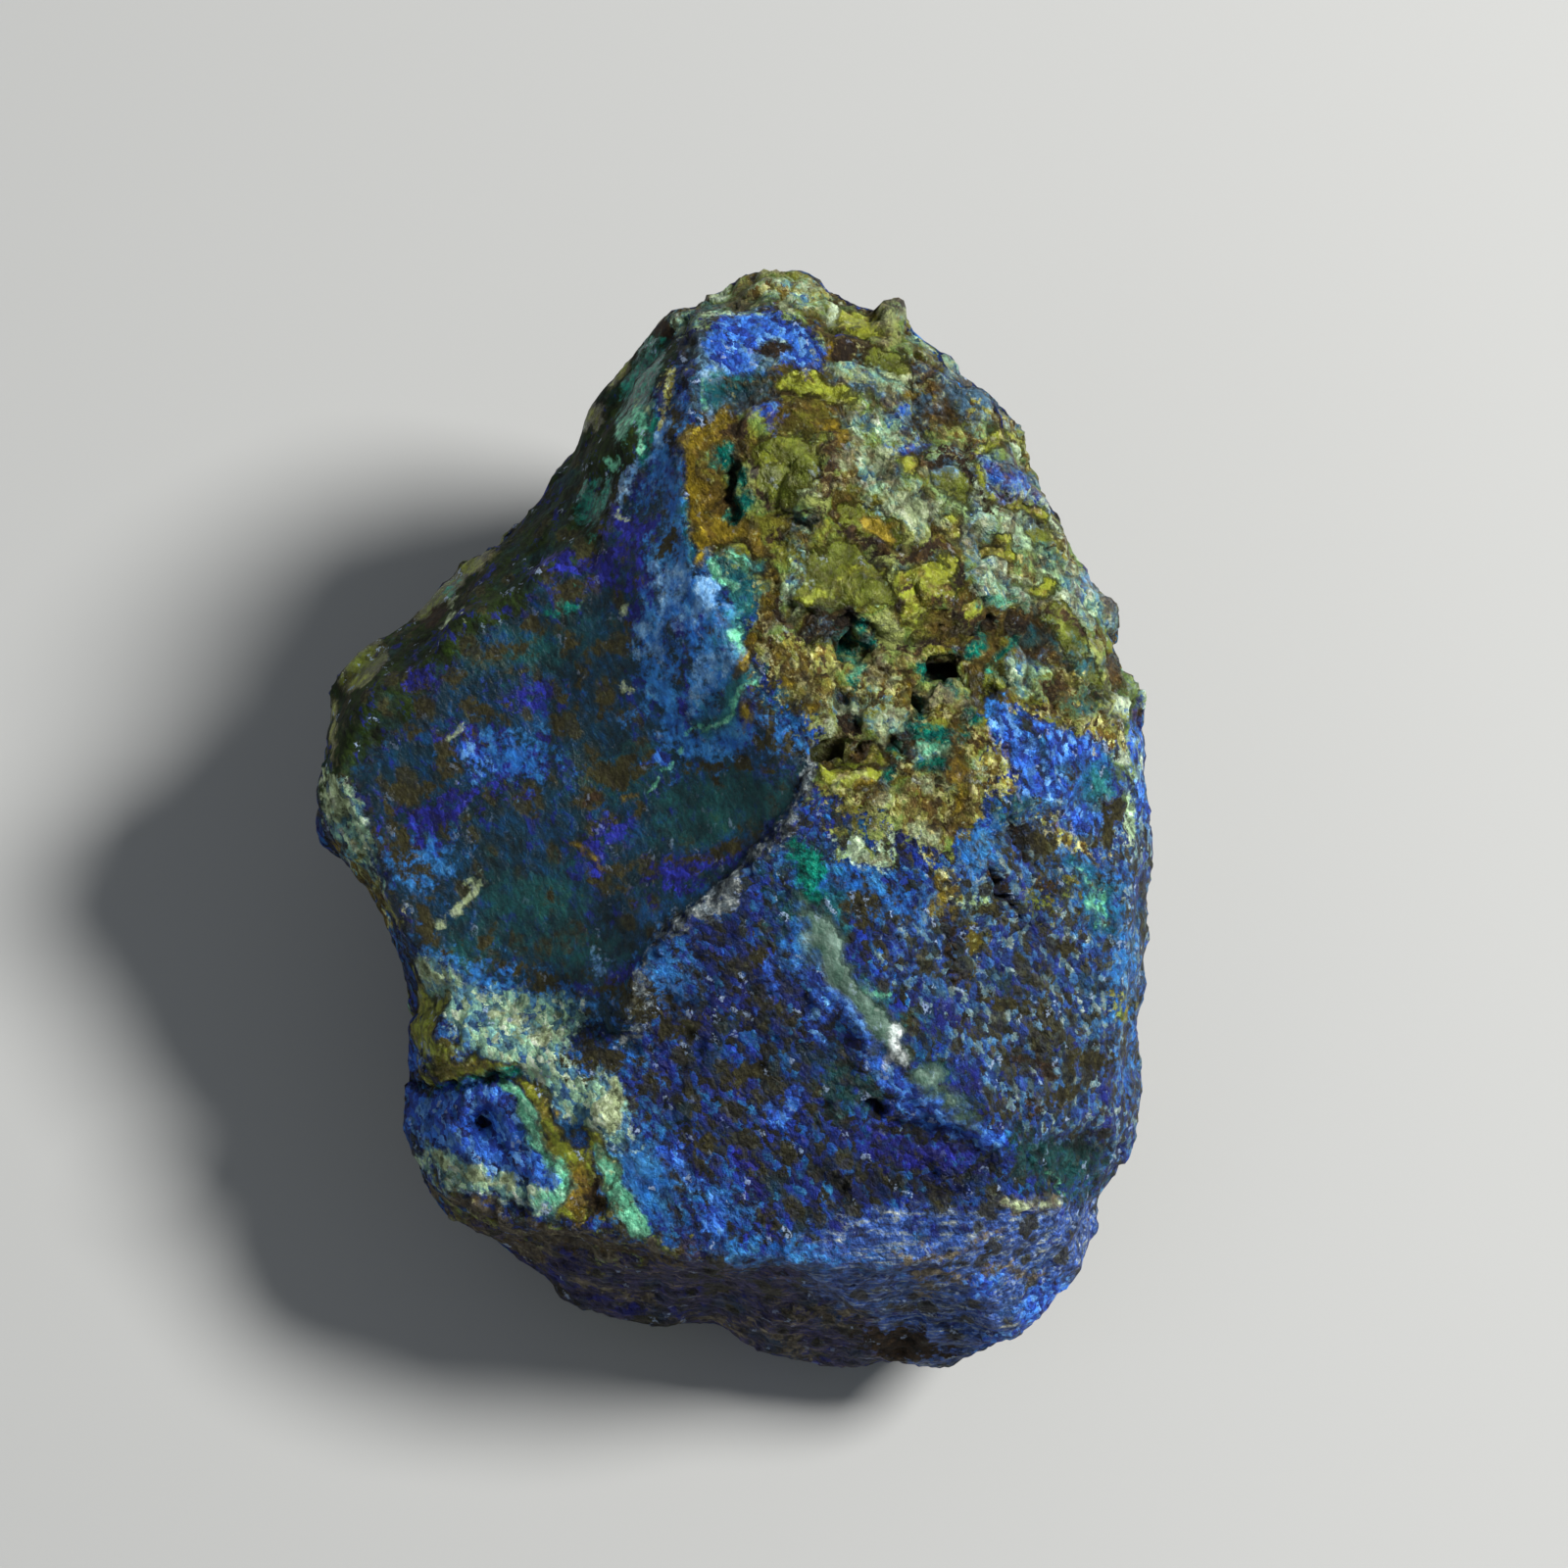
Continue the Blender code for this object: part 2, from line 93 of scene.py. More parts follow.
# Where each mineral shows on the face. Areas are outlines, spots are (u, v, half width, half height, turn)
# and streaks are a line with its half width. Elsewhere is how big its patches are on the sides and back,
# the share that it takes there, and a place to start the pattern from.
minerals = {
    "steelBlue": {
        "areas": [[
            (-2.6, 20.5), (-2.2, 17.0), (-1.7, 14.0), (-0.9, 11.5), (0.4, 9.5), (0.9, 7.2), (2.0, 5.6),
            (3.2, 4.4), (3.9, 2.8), (3.0, 1.0), (1.4, -1.1), (-0.6, -3.3), (-3.0, -5.0), (-4.2, -7.2),
            (-5.2, -9.6), (-6.8, -10.6), (-8.2, -9.0), (-11.6, -8.2), (-14.2, -6.8), (-15.6, -6.0),
            (-16.8, -4.6), (-17.6, -2.0), (-18.8, 1.2), (-18.6, 2.8), (-17.0, 4.6), (-15.2, 6.4),
            (-12.8, 8.6), (-9.9, 10.8), (-7.4, 13.0), (-5.8, 15.4), (-4.6, 17.8), (-3.8, 19.6),
        ]],
        "elsewhere": (9.0, 0.22, 3.0),
    },
    "sky": {
        "spots": [
            (-0.4, 4.2, 1.8, 0.9, 15), (2.9, 4.2, 0.6, 0.4, 10), (-10.8, 3.5, 1.0, 0.5, -10),
            (-1.2, 9.6, 0.8, 1.2, 0), (-3.0, -7.2, 0.9, 1.4, 0), (3.3, -5.2, 0.35, 0.8, -20),
            (-4.6, -17.2, 1.5, 1.8, -30), (-1.0, -18.8, 0.7, 1.2, 15), (1.5, -20.2, 2.6, 0.4, -6),
            (6.6, -3.1, 1.8, 0.45, -12), (5.4, -2.1, 1.0, 0.6, 0), (-0.9, 26.0, 0.9, 0.35, 15),
            (11.6, 21.5, 2.6, 1.1, -38), (6.8, 20.8, 1.9, 0.5, -35), (9.6, 20.4, 0.9, 0.5, 0),
            (17.6, 11.6, 0.9, 1.5, 30), (18.3, 9.2, 0.5, 1.0, 15), (20.0, 4.4, 0.45, 1.6, 0),
            (17.8, 2.6, 1.3, 1.5, 0), (12.8, 5.4, 0.7, 0.6, 0), (-15.2, -1.5, 0.9, 0.5, 20),
            (-12.6, -7.4, 2.0, 0.5, -28), (-9.4, -8.5, 1.4, 0.45, -8), (-4.8, -16.8, 1.4, 2.0, -20),
            (-11.3, -10.8, 1.5, 0.4, -12), (-7.9, -14.6, 0.5, 1.3, 35), (-5.2, -11.6, 0.8, 0.5, 0),
            (11.8, -0.3, 0.9, 0.9, 0), (17.0, -2.6, 0.4, 2.6, 32), (19.0, -6.6, 0.35, 2.6, 8),
            (-7.2, -14.4, 0.4, 1.5, 35),
        ],
        "areas": [[(-3.2, 12.6), (-2.0, 13.0), (-0.9, 12.0), (-0.8, 11.0), (-1.8, 10.2), (-3.2, 10.2)]],
        "streaks": [
            ([(-2.7, 20.2), (-2.9, 18.4), (-3.0, 16.6), (-2.6, 14.6), (-2.5, 12.9)], 0.70),
            ([(-0.7, 9.0), (-0.6, 7.8), (-1.1, 6.2)], 0.50),
            ([(-3.4, 10.4), (-3.5, 8.4), (-3.3, 6.0), (-2.8, 4.0)], 0.55),
            ([(-8.9, -12.3), (-7.8, -13.1), (-7.0, -13.9)], 0.40),
            ([(-8.4, -13.9), (-7.8, -14.8), (-7.1, -15.9)], 0.32),
        ],
        "elsewhere": (6.0, 0.05, 11.0),
    },
    "violet": {
        "spots": [
            (-14.2, 0.9, 2.4, 0.7, 25), (-15.0, -0.4, 1.3, 0.5, 20), (-12.6, 4.0, 1.3, 0.6, -10),
            (-10.9, 2.6, 0.5, 0.9, 10), (-9.4, 3.6, 0.5, 0.5, 0), (-2.4, 5.9, 0.45, 0.8, 0),
            (-6.5, -1.8, 0.45, 1.6, 0), (-4.9, -0.1, 0.7, 0.6, 0), (-6.8, -6.3, 0.9, 0.6, -20),
            (-5.2, -7.5, 0.6, 0.5, 0), (2.3, -0.2, 0.9, 0.5, 40), (0.8, 4.5, 0.5, 0.6, 0),
            (-3.6, 17.2, 0.3, 1.2, 8), (-4.9, 14.3, 1.2, 0.9, 0), (-6.4, 12.5, 1.4, 0.7, 25),
            (-4.2, 11.6, 0.6, 1.8, -8), (-2.0, 9.4, 0.35, 0.9, 0), (-2.4, 5.7, 0.45, 0.7, 0),
            (0.5, 4.6, 0.35, 0.5, 0), (1.5, 5.4, 0.6, 0.4, 0), (1.5, 2.5, 0.5, 0.4, 0),
            (-2.6, 14.6, 0.4, 0.4, 0), (9.4, -15.7, 2.4, 0.7, -8), (0.7, -17.2, 0.5, 1.4, 20),
            (-8.4, 12.6, 0.8, 0.5, 0), (-15.2, 6.9, 0.7, 0.5, 30), (-10.2, 6.8, 1.2, 0.7, 0),
            (-2.0, -1.6, 2.0, 0.7, 30), (-0.4, -1.4, 1.2, 0.4, 30),
        ],
        "elsewhere": (5.0, 0.06, 17.0),
    },
    "bottle": {
        "areas": [[
            (-3.0, 26.4), (-5.4, 25.0), (-8.0, 22.0), (-9.4, 19.8), (-10.4, 17.6), (-12.4, 15.4),
            (-14.6, 13.2), (-16.6, 11.6), (-18.6, 10.8), (-20.6, 9.0), (-21.8, 5.4), (-22.0, 2.0),
            (-20.6, 0.8), (-19.6, 1.6), (-18.6, 2.6), (-17.0, 4.4), (-15.2, 6.2), (-13.4, 7.8),
            (-12.0, 9.0), (-9.8, 10.6), (-8.0, 12.2), (-6.2, 14.2), (-5.2, 16.4), (-4.4, 18.4),
            (-3.6, 20.6), (-2.9, 22.6), (-2.3, 24.6),
        ]],
        "elsewhere": (8.0, 0.12, 23.0),
    },
    "olive": {
        "areas": [[
            (-1.6, 20.2), (-0.4, 21.4), (1.2, 21.8), (3.6, 21.8), (4.8, 22.4), (4.6, 24.0), (4.0, 25.0),
            (0.0, 24.9), (-2.4, 24.6), (-3.0, 26.4), (1.0, 28.6), (5.4, 28.4), (8.8, 27.4), (10.6, 25.4),
            (13.6, 23.2), (16.2, 20.2), (17.4, 16.8), (19.2, 13.0), (20.6, 9.2), (21.8, 6.2), (20.6, 4.6),
            (18.6, 5.0), (16.4, 5.0), (14.8, 5.8), (12.8, 6.2), (12.0, 5.2), (11.8, 2.6), (11.4, 0.2),
            (10.2, -0.6), (8.8, -0.4), (6.4, 0.2), (5.0, 0.4), (4.3, 1.8), (4.2, 3.8), (3.6, 5.0),
            (2.4, 6.2), (1.1, 8.2), (0.9, 10.4), (-0.2, 12.4), (-1.3, 13.6), (-2.0, 16.4), (-1.8, 18.6),
        ]],
        "spots": [
            (6.6, -1.0, 0.7, 0.5, 0), (15.6, -3.3, 0.7, 0.4, 0), (18.9, -8.8, 0.5, 0.5, 0),
            (-14.2, -11.2, 1.0, 0.7, 0), (-6.9, -18.6, 1.2, 0.5, 0), (11.4, -5.9, 0.6, 0.5, 0),
            (-5.0, -20.6, 1.6, 0.4, -4), (-12.6, -19.3, 3.0, 0.6, -22), (-8.4, -20.4, 2.6, 0.5, -8),
        ],
        "elsewhere": (7.0, 0.13, 31.0),
    },
    "sage": {
        "areas": [[
            (9.4, 19.2), (11.4, 19.4), (13.4, 20.4), (15.6, 18.2), (17.4, 14.4), (19.4, 10.0), (18.0, 9.4),
            (15.4, 11.2), (13.0, 10.8), (11.0, 12.6), (9.8, 15.0), (9.4, 17.0),
        ]],
        "spots": [
            (1.0, 26.2, 3.2, 0.9, 0), (-1.2, 24.6, 1.6, 0.4, 0), (5.4, 25.0, 1.0, 0.6, 0),
            (7.0, 19.0, 1.6, 0.7, -20), (4.4, 10.6, 1.2, 0.4, 0), (14.6, 7.0, 1.4, 0.7, -20),
            (16.8, 6.2, 1.4, 0.5, -20), (19.4, 6.6, 0.8, 1.6, 10), (19.6, 3.4, 0.6, 1.5, 0),
            (19.6, 0.4, 0.4, 1.0, 0), (11.8, 3.2, 0.6, 0.4, 0), (11.0, -3.6, 0.7, 0.25, -30),
            (9.6, 1.9, 1.0, 0.8, 0), (3.3, 8.4, 0.8, 0.4, 0), (6.5, -1.0, 1.0, 0.6, 0),
            (6.6, 16.8, 1.2, 0.4, 0),
        ],
        "elsewhere": (4.0, 0.04, 101.0),
    },
    "blueDust": {
        "spots": [
            (11.8, 21.4, 2.8, 1.2, -38), (6.8, 20.8, 2.0, 0.5, -35), (9.4, 20.6, 1.0, 0.5, -20),
            (17.8, 11.6, 1.0, 2.2, 30), (19.0, 8.8, 0.6, 1.4, 15), (12.2, 12.4, 0.7, 0.4, -40),
            (10.6, 17.2, 0.6, 0.5, 0), (14.4, 14.8, 0.6, 0.3, 0), (13.0, 11.6, 0.6, 0.4, 0),
            (0.2, 20.8, 1.6, 0.8, 0), (-1.0, 22.4, 0.8, 1.0, 0), (1.6, 23.0, 1.0, 1.0, 0),
            (14.0, 17.4, 1.6, 1.0, -35), (7.0, 2.2, 0.4, 0.7, 0), (10.2, 2.6, 0.5, 0.4, 0),
            (6.6, 6.6, 0.6, 0.3, 0), (4.8, 9.2, 0.5, 0.3, 0), (15.4, 16.2, 1.4, 0.3, -30),
            (13.0, 18.2, 1.4, 0.3, -35),
        ],
        "elsewhere": None,
    },
    "greenHaze": {
        "spots": [
            (-0.3, 1.0, 3.0, 1.5, 12), (-5.4, 2.6, 2.0, 1.2, 0), (-9.6, -3.8, 2.6, 1.5, 0),
            (-7.0, -6.0, 1.4, 0.9, 0), (-12.6, -5.6, 1.6, 1.0, 0), (-9.8, 8.6, 2.0, 0.8, 20),
            (3.2, -2.2, 0.9, 1.4, 30), (15.6, -16.2, 2.4, 1.2, -25), (2.6, -4.0, 0.7, 1.0, 0),
            (9.4, -12.2, 0.9, 0.9, 0), (5.2, -12.4, 1.2, 0.9, 0),
        ],
        "elsewhere": None,
    },
    "moss": {
        "areas": [
            [
                (0.8, 17.4), (1.2, 18.8), (2.4, 19.4), (3.6, 19.0), (4.3, 18.2), (4.0, 17.0), (4.0, 16.0),
                (3.0, 15.2), (1.6, 15.4), (0.9, 16.2),
            ],
            [(5.6, 15.6), (6.4, 16.0), (7.4, 15.6), (8.1, 14.6), (7.8, 14.0), (6.4, 14.0), (5.6, 14.2)],
            [
                (2.4, 11.0), (3.2, 12.2), (3.4, 13.2), (5.6, 13.4), (7.6, 12.7), (7.8, 11.6), (7.6, 10.4),
                (5.4, 10.3), (3.4, 10.6),
            ],
            [(14.6, 10.2), (15.6, 10.8), (16.6, 10.6), (17.3, 9.4), (17.2, 8.0), (16.2, 8.4), (15.6, 9.4)],
            [(5.0, 3.3), (5.8, 3.9), (6.2, 3.6), (6.1, 3.1), (5.2, 3.1)],
        ],
        "spots": [
            (8.0, 22.6, 0.9, 0.9, 0), (11.0, 16.4, 1.2, 0.6, -30), (15.4, 14.2, 1.0, 0.7, -30),
            (17.4, 7.2, 1.3, 0.6, -30), (4.7, 8.0, 0.7, 0.7, 0), (12.8, 7.0, 0.6, 0.9, 0),
            (7.6, 7.4, 0.6, 0.4, 0), (7.9, 3.8, 0.6, 0.5, 0), (0.6, 13.0, 1.0, 0.5, -20),
            (-14.2, 12.4, 2.6, 1.0, 45), (-7.8, 20.2, 1.6, 1.0, 50), (-18.6, 8.2, 1.4, 1.0, 20),
        ],
        "elsewhere": (5.0, 0.07, 89.0),
    },
    "lime": {
        "spots": [
            (4.2, 11.2, 1.3, 0.4, 5), (12.1, 10.6, 0.8, 0.5, 30), (8.6, 17.5, 0.9, 0.5, 30),
            (15.0, 11.7, 1.1, 0.5, -20), (10.7, 14.7, 0.5, 0.7, -20), (2.0, 17.9, 0.6, 0.4, 0),
            (0.5, 13.3, 0.4, 0.3, 0), (-18.3, 7.5, 0.7, 0.4, 15), (-12.6, 13.2, 1.2, 0.5, 40),
            (-5.8, 22.8, 0.4, 0.9, -35), (-7.4, 20.3, 0.8, 0.3, 20), (-19.9, 4.6, 0.4, 1.3, 0),
        ],
        "areas": [
            [
                (2.4, 21.2), (2.6, 21.9), (3.8, 21.9), (5.4, 21.4), (6.4, 20.7), (5.6, 20.5), (4.4, 20.8),
                (3.4, 20.9),
            ],
            [(4.9, 24.2), (5.0, 24.9), (6.4, 24.9), (7.6, 24.7), (7.4, 24.0), (6.2, 23.9)],
            [
                (8.1, 10.0), (7.9, 11.6), (8.2, 12.8), (9.4, 12.9), (10.3, 12.9), (10.4, 12.0),
                (11.0, 11.6), (11.0, 10.8), (10.0, 10.2), (9.0, 10.0),
            ],
            [(12.0, 13.2), (12.4, 14.0), (13.2, 14.0), (13.8, 13.4), (13.0, 12.9)],
            [(4.4, 2.1), (4.6, 3.0), (5.4, 3.1), (6.9, 2.8), (6.9, 2.4), (6.3, 1.9), (5.4, 1.6), (4.8, 1.6)],
            [(6.2, 4.0), (6.6, 4.5), (7.1, 3.8), (7.2, 3.2), (6.7, 3.1), (6.2, 3.4)],
            [
                (-15.8, -7.0), (-15.2, -7.4), (-14.4, -8.6), (-14.3, -9.4), (-14.6, -10.4), (-13.2, -11.3),
                (-11.6, -11.4), (-10.0, -11.2), (-9.8, -11.6), (-11.6, -11.8), (-13.0, -12.3),
                (-14.6, -12.7), (-15.0, -11.8), (-14.9, -11.0), (-15.8, -10.4), (-16.0, -9.0),
            ],
            [
                (-10.6, -12.2), (-9.4, -12.1), (-9.0, -13.2), (-8.4, -14.2), (-7.9, -15.4), (-7.2, -16.4),
                (-6.8, -17.6), (-6.6, -18.8), (-7.4, -19.2), (-8.6, -19.0), (-8.2, -17.8), (-8.2, -16.6),
                (-8.8, -15.6), (-9.4, -14.4), (-10.0, -13.2),
            ],
            [(-7.4, -15.2), (-6.9, -15.0), (-6.2, -16.2), (-5.4, -17.6), (-6.2, -17.8), (-6.8, -16.8)],
        ],
        "streaks": [
            ([(11.9, 17.8), (12.3, 16.5), (13.4, 15.7), (15.0, 15.4), (16.2, 15.1)], 0.34),
            ([(12.2, 18.2), (13.0, 19.0), (14.4, 19.2)], 0.26),
            ([(5.4, 12.0), (7.0, 12.3), (7.9, 12.8)], 0.12),
        ],
        "elsewhere": (3.5, 0.03, 37.0),
    },
    "ochre": {
        "areas": [
            [
                (1.2, 11.8), (1.6, 12.4), (2.0, 11.4), (1.9, 10.2), (2.3, 9.2), (3.6, 9.4), (4.4, 8.4),
                (5.2, 7.6), (5.4, 6.8), (4.8, 6.4), (4.2, 6.0), (4.0, 5.0), (3.2, 5.2), (2.6, 6.0),
                (2.4, 6.8), (1.4, 7.0), (0.6, 7.4), (0.4, 8.6), (0.9, 9.4), (1.0, 10.6),
            ],
            [(6.0, 8.2), (7.0, 8.6), (8.6, 8.2), (8.6, 7.0), (8.2, 6.0), (7.2, 6.4), (6.2, 6.2), (5.6, 7.0)],
            [
                (7.6, 3.0), (8.6, 3.1), (9.2, 2.2), (10.2, 1.8), (10.4, 0.6), (9.8, -0.6), (8.8, -0.2),
                (8.4, 0.8), (8.4, 1.8),
            ],
        ],
        "spots": [
            (10.6, 6.2, 0.9, 0.4, 10), (10.0, 8.5, 1.1, 0.3, 5), (11.6, 4.4, 0.6, 0.5, 0),
            (7.7, 0.7, 0.5, 0.4, 0), (9.8, -2.4, 0.45, 0.8, 10), (9.9, -3.6, 0.3, 0.6, 0),
            (5.5, 1.3, 0.7, 0.4, 0), (11.4, 1.2, 0.5, 0.9, 0), (16.2, 7.0, 0.8, 0.3, -30),
            (17.9, 4.7, 1.4, 0.7, -15), (15.2, 5.5, 1.0, 0.4, -20), (12.4, 3.6, 0.9, 0.7, -30),
            (12.7, 2.2, 0.7, 0.5, 0), (16.4, -0.4, 1.2, 0.35, -20), (10.8, 18.8, 1.1, 0.4, 0),
            (13.6, 19.6, 1.3, 0.35, -30), (14.9, 18.6, 0.25, 0.8, 20), (1.4, 26.6, 0.9, 0.4, 0),
            (4.0, 26.6, 0.6, 0.4, 0), (2.6, 26.0, 0.4, 0.6, 0), (5.4, 17.0, 0.8, 0.6, 0),
            (16.6, 13.6, 0.4, 0.5, 0), (14.0, 12.7, 0.4, 0.4, 0), (9.2, 21.4, 0.5, 0.3, -30),
        ],
        "streaks": [
            ([(-3.0, 22.2), (-3.2, 20.6), (-3.4, 19.4)], 0.18),
            ([(-18.6, -2.0), (-17.8, -3.2), (-17.0, -4.4)], 0.5),
        ],
        "elsewhere": (5.0, 0.09, 41.0),
    },
    "amber": {
        "areas": [
            [
                (-2.2, 17.2), (-1.9, 18.8), (-1.8, 19.8), (-0.8, 20.1), (0.4, 20.0), (0.2, 19.4),
                (-0.8, 18.6), (-1.2, 17.6), (-0.8, 16.6), (-0.7, 15.6), (-0.2, 15.2), (1.0, 14.8),
                (1.6, 13.8), (1.9, 13.1), (1.2, 13.2), (0.4, 13.8), (-0.4, 13.4), (-0.7, 12.4),
                (-1.4, 12.6), (-1.5, 13.6), (-1.8, 14.6), (-2.0, 15.8),
            ],
            [
                (-8.1, -16.2), (-7.5, -16.5), (-7.1, -17.6), (-6.8, -18.7), (-7.4, -18.9), (-8.1, -18.2),
                (-8.2, -17.2),
            ],
        ],
        "spots": [
            (6.8, 14.6, 0.6, 0.8, 10), (4.9, 19.1, 0.8, 0.6, 0), (8.4, 21.2, 0.7, 0.35, -15),
            (1.4, 10.6, 0.4, 0.6, 0), (1.1, 9.3, 0.35, 0.5, 0), (0.3, 8.1, 0.35, 0.8, -15),
            (2.3, 8.1, 0.4, 0.5, 0), (2.8, 6.7, 0.5, 0.5, 0), (3.5, 5.4, 0.5, 0.35, 0),
            (0.9, 5.2, 0.4, 0.3, 0), (10.7, 3.6, 0.3, 0.4, 0), (5.8, 2.0, 0.4, 0.3, 0),
            (-8.2, -13.6, 0.3, 0.2, -30), (-7.1, -1.2, 0.8, 0.2, -15), (-4.9, 1.4, 0.3, 0.25, 0),
            (3.6, 8.0, 0.4, 0.3, 0), (8.1, 6.6, 0.35, 0.4, 0), (5.0, 23.0, 0.3, 0.6, -20),
        ],
        "streaks": [
            ([(10.8, 3.8), (10.5, 2.4), (10.4, 1.0)], 0.26),
            ([(9.3, -2.0), (9.8, -3.4), (10.2, -4.6)], 0.22),
            ([(-19.6, -0.8), (-18.6, -2.4), (-17.6, -3.9)], 0.42),
            ([(1.5, 12.6), (1.7, 11.4)], 0.24),
        ],
        "elsewhere": (4.0, 0.03, 107.0),
    },
    "turquoise": {
        "spots": [
            (0.3, 11.6, 0.9, 1.2, 0), (4.9, -3.6, 0.6, 0.8, 0), (-0.9, 25.8, 0.9, 0.35, 10),
            (3.5, 14.4, 0.4, 0.6, -20), (8.9, 12.6, 0.8, 0.35, 0), (-9.0, -18.2, 0.6, 0.7, 0),
            (14.2, 7.1, 0.6, 0.4, 0), (13.7, 11.0, 0.7, 0.35, -30), (6.6, -7.6, 0.9, 0.3, -40),
            (0.2, 21.2, 1.4, 0.8, 0), (2.6, 6.0, 0.3, 0.4, 0), (15.6, 13.1, 0.9, 0.25, -10),
            (17.9, 2.0, 0.9, 1.3, -10), (13.2, 1.2, 0.6, 0.3, 0),
        ],
        "streaks": [
            ([(1.0, 12.6), (0.4, 11.2), (-0.1, 9.6), (0.2, 8.2), (0.4, 6.6), (-0.3, 5.6), (-1.2, 5.0)], 0.46),
            ([(-2.3, 17.4), (-2.1, 15.6), (-2.0, 14.2), (-1.7, 13.0)], 0.20),
            ([(16.2, 6.5), (17.4, 5.9), (18.8, 5.4), (19.6, 5.0)], 0.32),
            ([(14.6, 9.3), (15.6, 8.7), (17.2, 7.5)], 0.30),
            ([(16.4, -1.7), (17.3, -2.9), (18.1, -4.3)], 0.34),
        ],
        "elsewhere": (3.0, 0.02, 109.0),
    },
    "ice": {
        "spots": [
            (-1.5, 11.2, 0.6, 1.3, -25), (-2.7, 12.3, 0.4, 0.5, 0), (-3.5, 18.4, 0.2, 0.5, -20),
            (-1.0, 7.2, 0.25, 0.9, -30), (-3.3, 10.8, 0.2, 1.1, 0), (-4.0, 9.9, 0.35, 0.18, 0),
            (-4.1, 8.7, 0.4, 0.15, 0), (12.0, 14.9, 0.35, 0.6, 0), (11.3, 13.4, 0.35, 0.4, 30),
            (17.4, 11.8, 0.35, 0.5, 30), (0.5, 23.1, 0.3, 0.25, 0), (14.1, 8.0, 0.3, 0.2, 0),
            (-5.2, 16.6, 0.3, 0.6, 0), (-6.4, -6.8, 0.2, 0.3, 0),
        ],
        "streaks": [([(-1.1, 20.2), (-1.1, 21.8)], 0.12)],
        "elsewhere": None,
    },
    "strand": {
        "streaks": [
            ([
                (-14.4, -18.3), (-12.0, -19.0), (-10.0, -19.8), (-8.4, -20.3), (-6.0, -20.5), (-4.0, -20.5),
            ], 0.50),
            ([(-12.8, -19.7), (-11.0, -20.4), (-9.4, -21.0)], 0.40),
            ([(-7.4, -22.6), (-4.4, -23.2)], 0.18),
            ([(1.4, -25.2), (3.6, -26.0)], 0.28),
            ([(-3.6, -24.2), (0.4, -24.9)], 0.18),
            ([(3.0, -23.6), (6.0, -24.0)], 0.18),
            ([(8.0, -20.6), (11.0, -20.4), (13.6, -19.8)], 0.14),
            ([(9.0, -22.2), (12.0, -21.8), (15.0, -21.4)], 0.14),
            ([(13.2, -18.1), (14.8, -17.9)], 0.16),
        ],
        "elsewhere": None,
    },
    "rust": {
        "spots": [
            (-6.9, 1.2, 0.9, 0.6, 10), (-8.5, 6.0, 0.45, 0.35, 0), (-15.3, 6.1, 0.6, 0.5, 0),
            (-15.9, 5.0, 0.6, 0.4, 0), (-13.4, 7.1, 0.6, 0.5, 0), (-10.0, 1.1, 0.4, 0.3, 0),
            (-13.7, 3.3, 0.9, 0.35, 40), (-8.2, 11.5, 0.9, 0.3, -10), (-8.0, 9.2, 0.4, 0.4, 0),
            (-5.2, 9.4, 0.3, 0.5, 0), (-11.2, 8.4, 1.0, 0.4, 25), (-9.6, 10.0, 0.6, 0.3, 0),
            (-6.3, 8.6, 0.4, 0.3, 0), (-6.4, 4.0, 0.5, 0.3, 0), (-4.2, 0.6, 0.4, 0.3, 0),
            (-15.6, 2.0, 1.2, 0.5, 25), (-12.2, 5.6, 0.5, 0.4, 0), (-9.0, 4.6, 0.4, 0.3, 0),
            (-7.2, 7.2, 0.3, 0.4, 0), (-5.8, 6.2, 0.4, 0.3, 0), (-6.0, -2.6, 0.7, 0.4, 0),
            (-5.2, -1.6, 0.5, 0.3, 0), (-0.6, -1.0, 1.6, 0.3, 12), (-5.4, 2.8, 1.8, 0.8, 0),
            (0.8, 3.0, 0.6, 0.4, 0), (2.0, 4.2, 0.5, 0.4, 0), (-1.0, 2.6, 0.5, 0.25, 0),
            (2.8, 3.6, 0.4, 0.5, 0), (1.9, 5.4, 0.4, 0.4, 0), (-9.0, -3.2, 0.4, 0.3, 0),
            (-12.0, -5.4, 0.5, 0.3, 0), (-5.2, -8.2, 1.6, 0.4, -10), (-9.6, -7.4, 1.2, 0.4, -15),
            (-15.0, -4.6, 0.8, 1.2, 30), (-16.2, -0.6, 0.5, 1.4, 20), (-3.1, 14.0, 0.3, 0.5, 0),
            (-2.6, 19.4, 0.4, 0.8, 0), (6.2, -3.9, 0.9, 0.4, 10), (-1.8, -9.6, 0.9, 0.6, 0),
            (0.6, -12.0, 0.8, 0.7, 0), (-3.6, -9.4, 0.5, 0.8, 0), (-6.0, -11.4, 1.6, 0.5, -10),
            (1.2, -6.2, 0.7, 0.5, 0), (-1.2, -14.6, 0.6, 0.5, 0), (13.6, -8.4, 1.2, 0.5, -20),
            (16.0, -5.4, 1.0, 0.5, -30), (17.6, -11.4, 1.0, 0.5, -10), (12.0, -4.2, 0.9, 0.5, 0),
            (14.8, -0.6, 0.9, 0.5, 0), (18.4, 0.2, 0.9, 0.7, 0), (15.8, -12.6, 1.0, 0.5, 0),
        ],
        "elsewhere": (2.2, 0.05, 83.0),
    },
    "brown": {
        "spots": [
            (2.2, 14.0, 0.5, 0.3, -30), (6.9, 13.3, 0.6, 0.3, 0), (15.4, 6.4, 0.3, 0.7, 0),
            (0.0, 19.2, 0.5, 0.4, 0), (1.7, 23.2, 0.9, 0.6, -10), (9.2, 13.5, 1.3, 0.4, 0),
            (4.6, 17.6, 0.4, 1.1, 0), (9.1, 11.8, 0.4, 0.18, 0), (10.2, 10.6, 0.2, 0.15, 0),
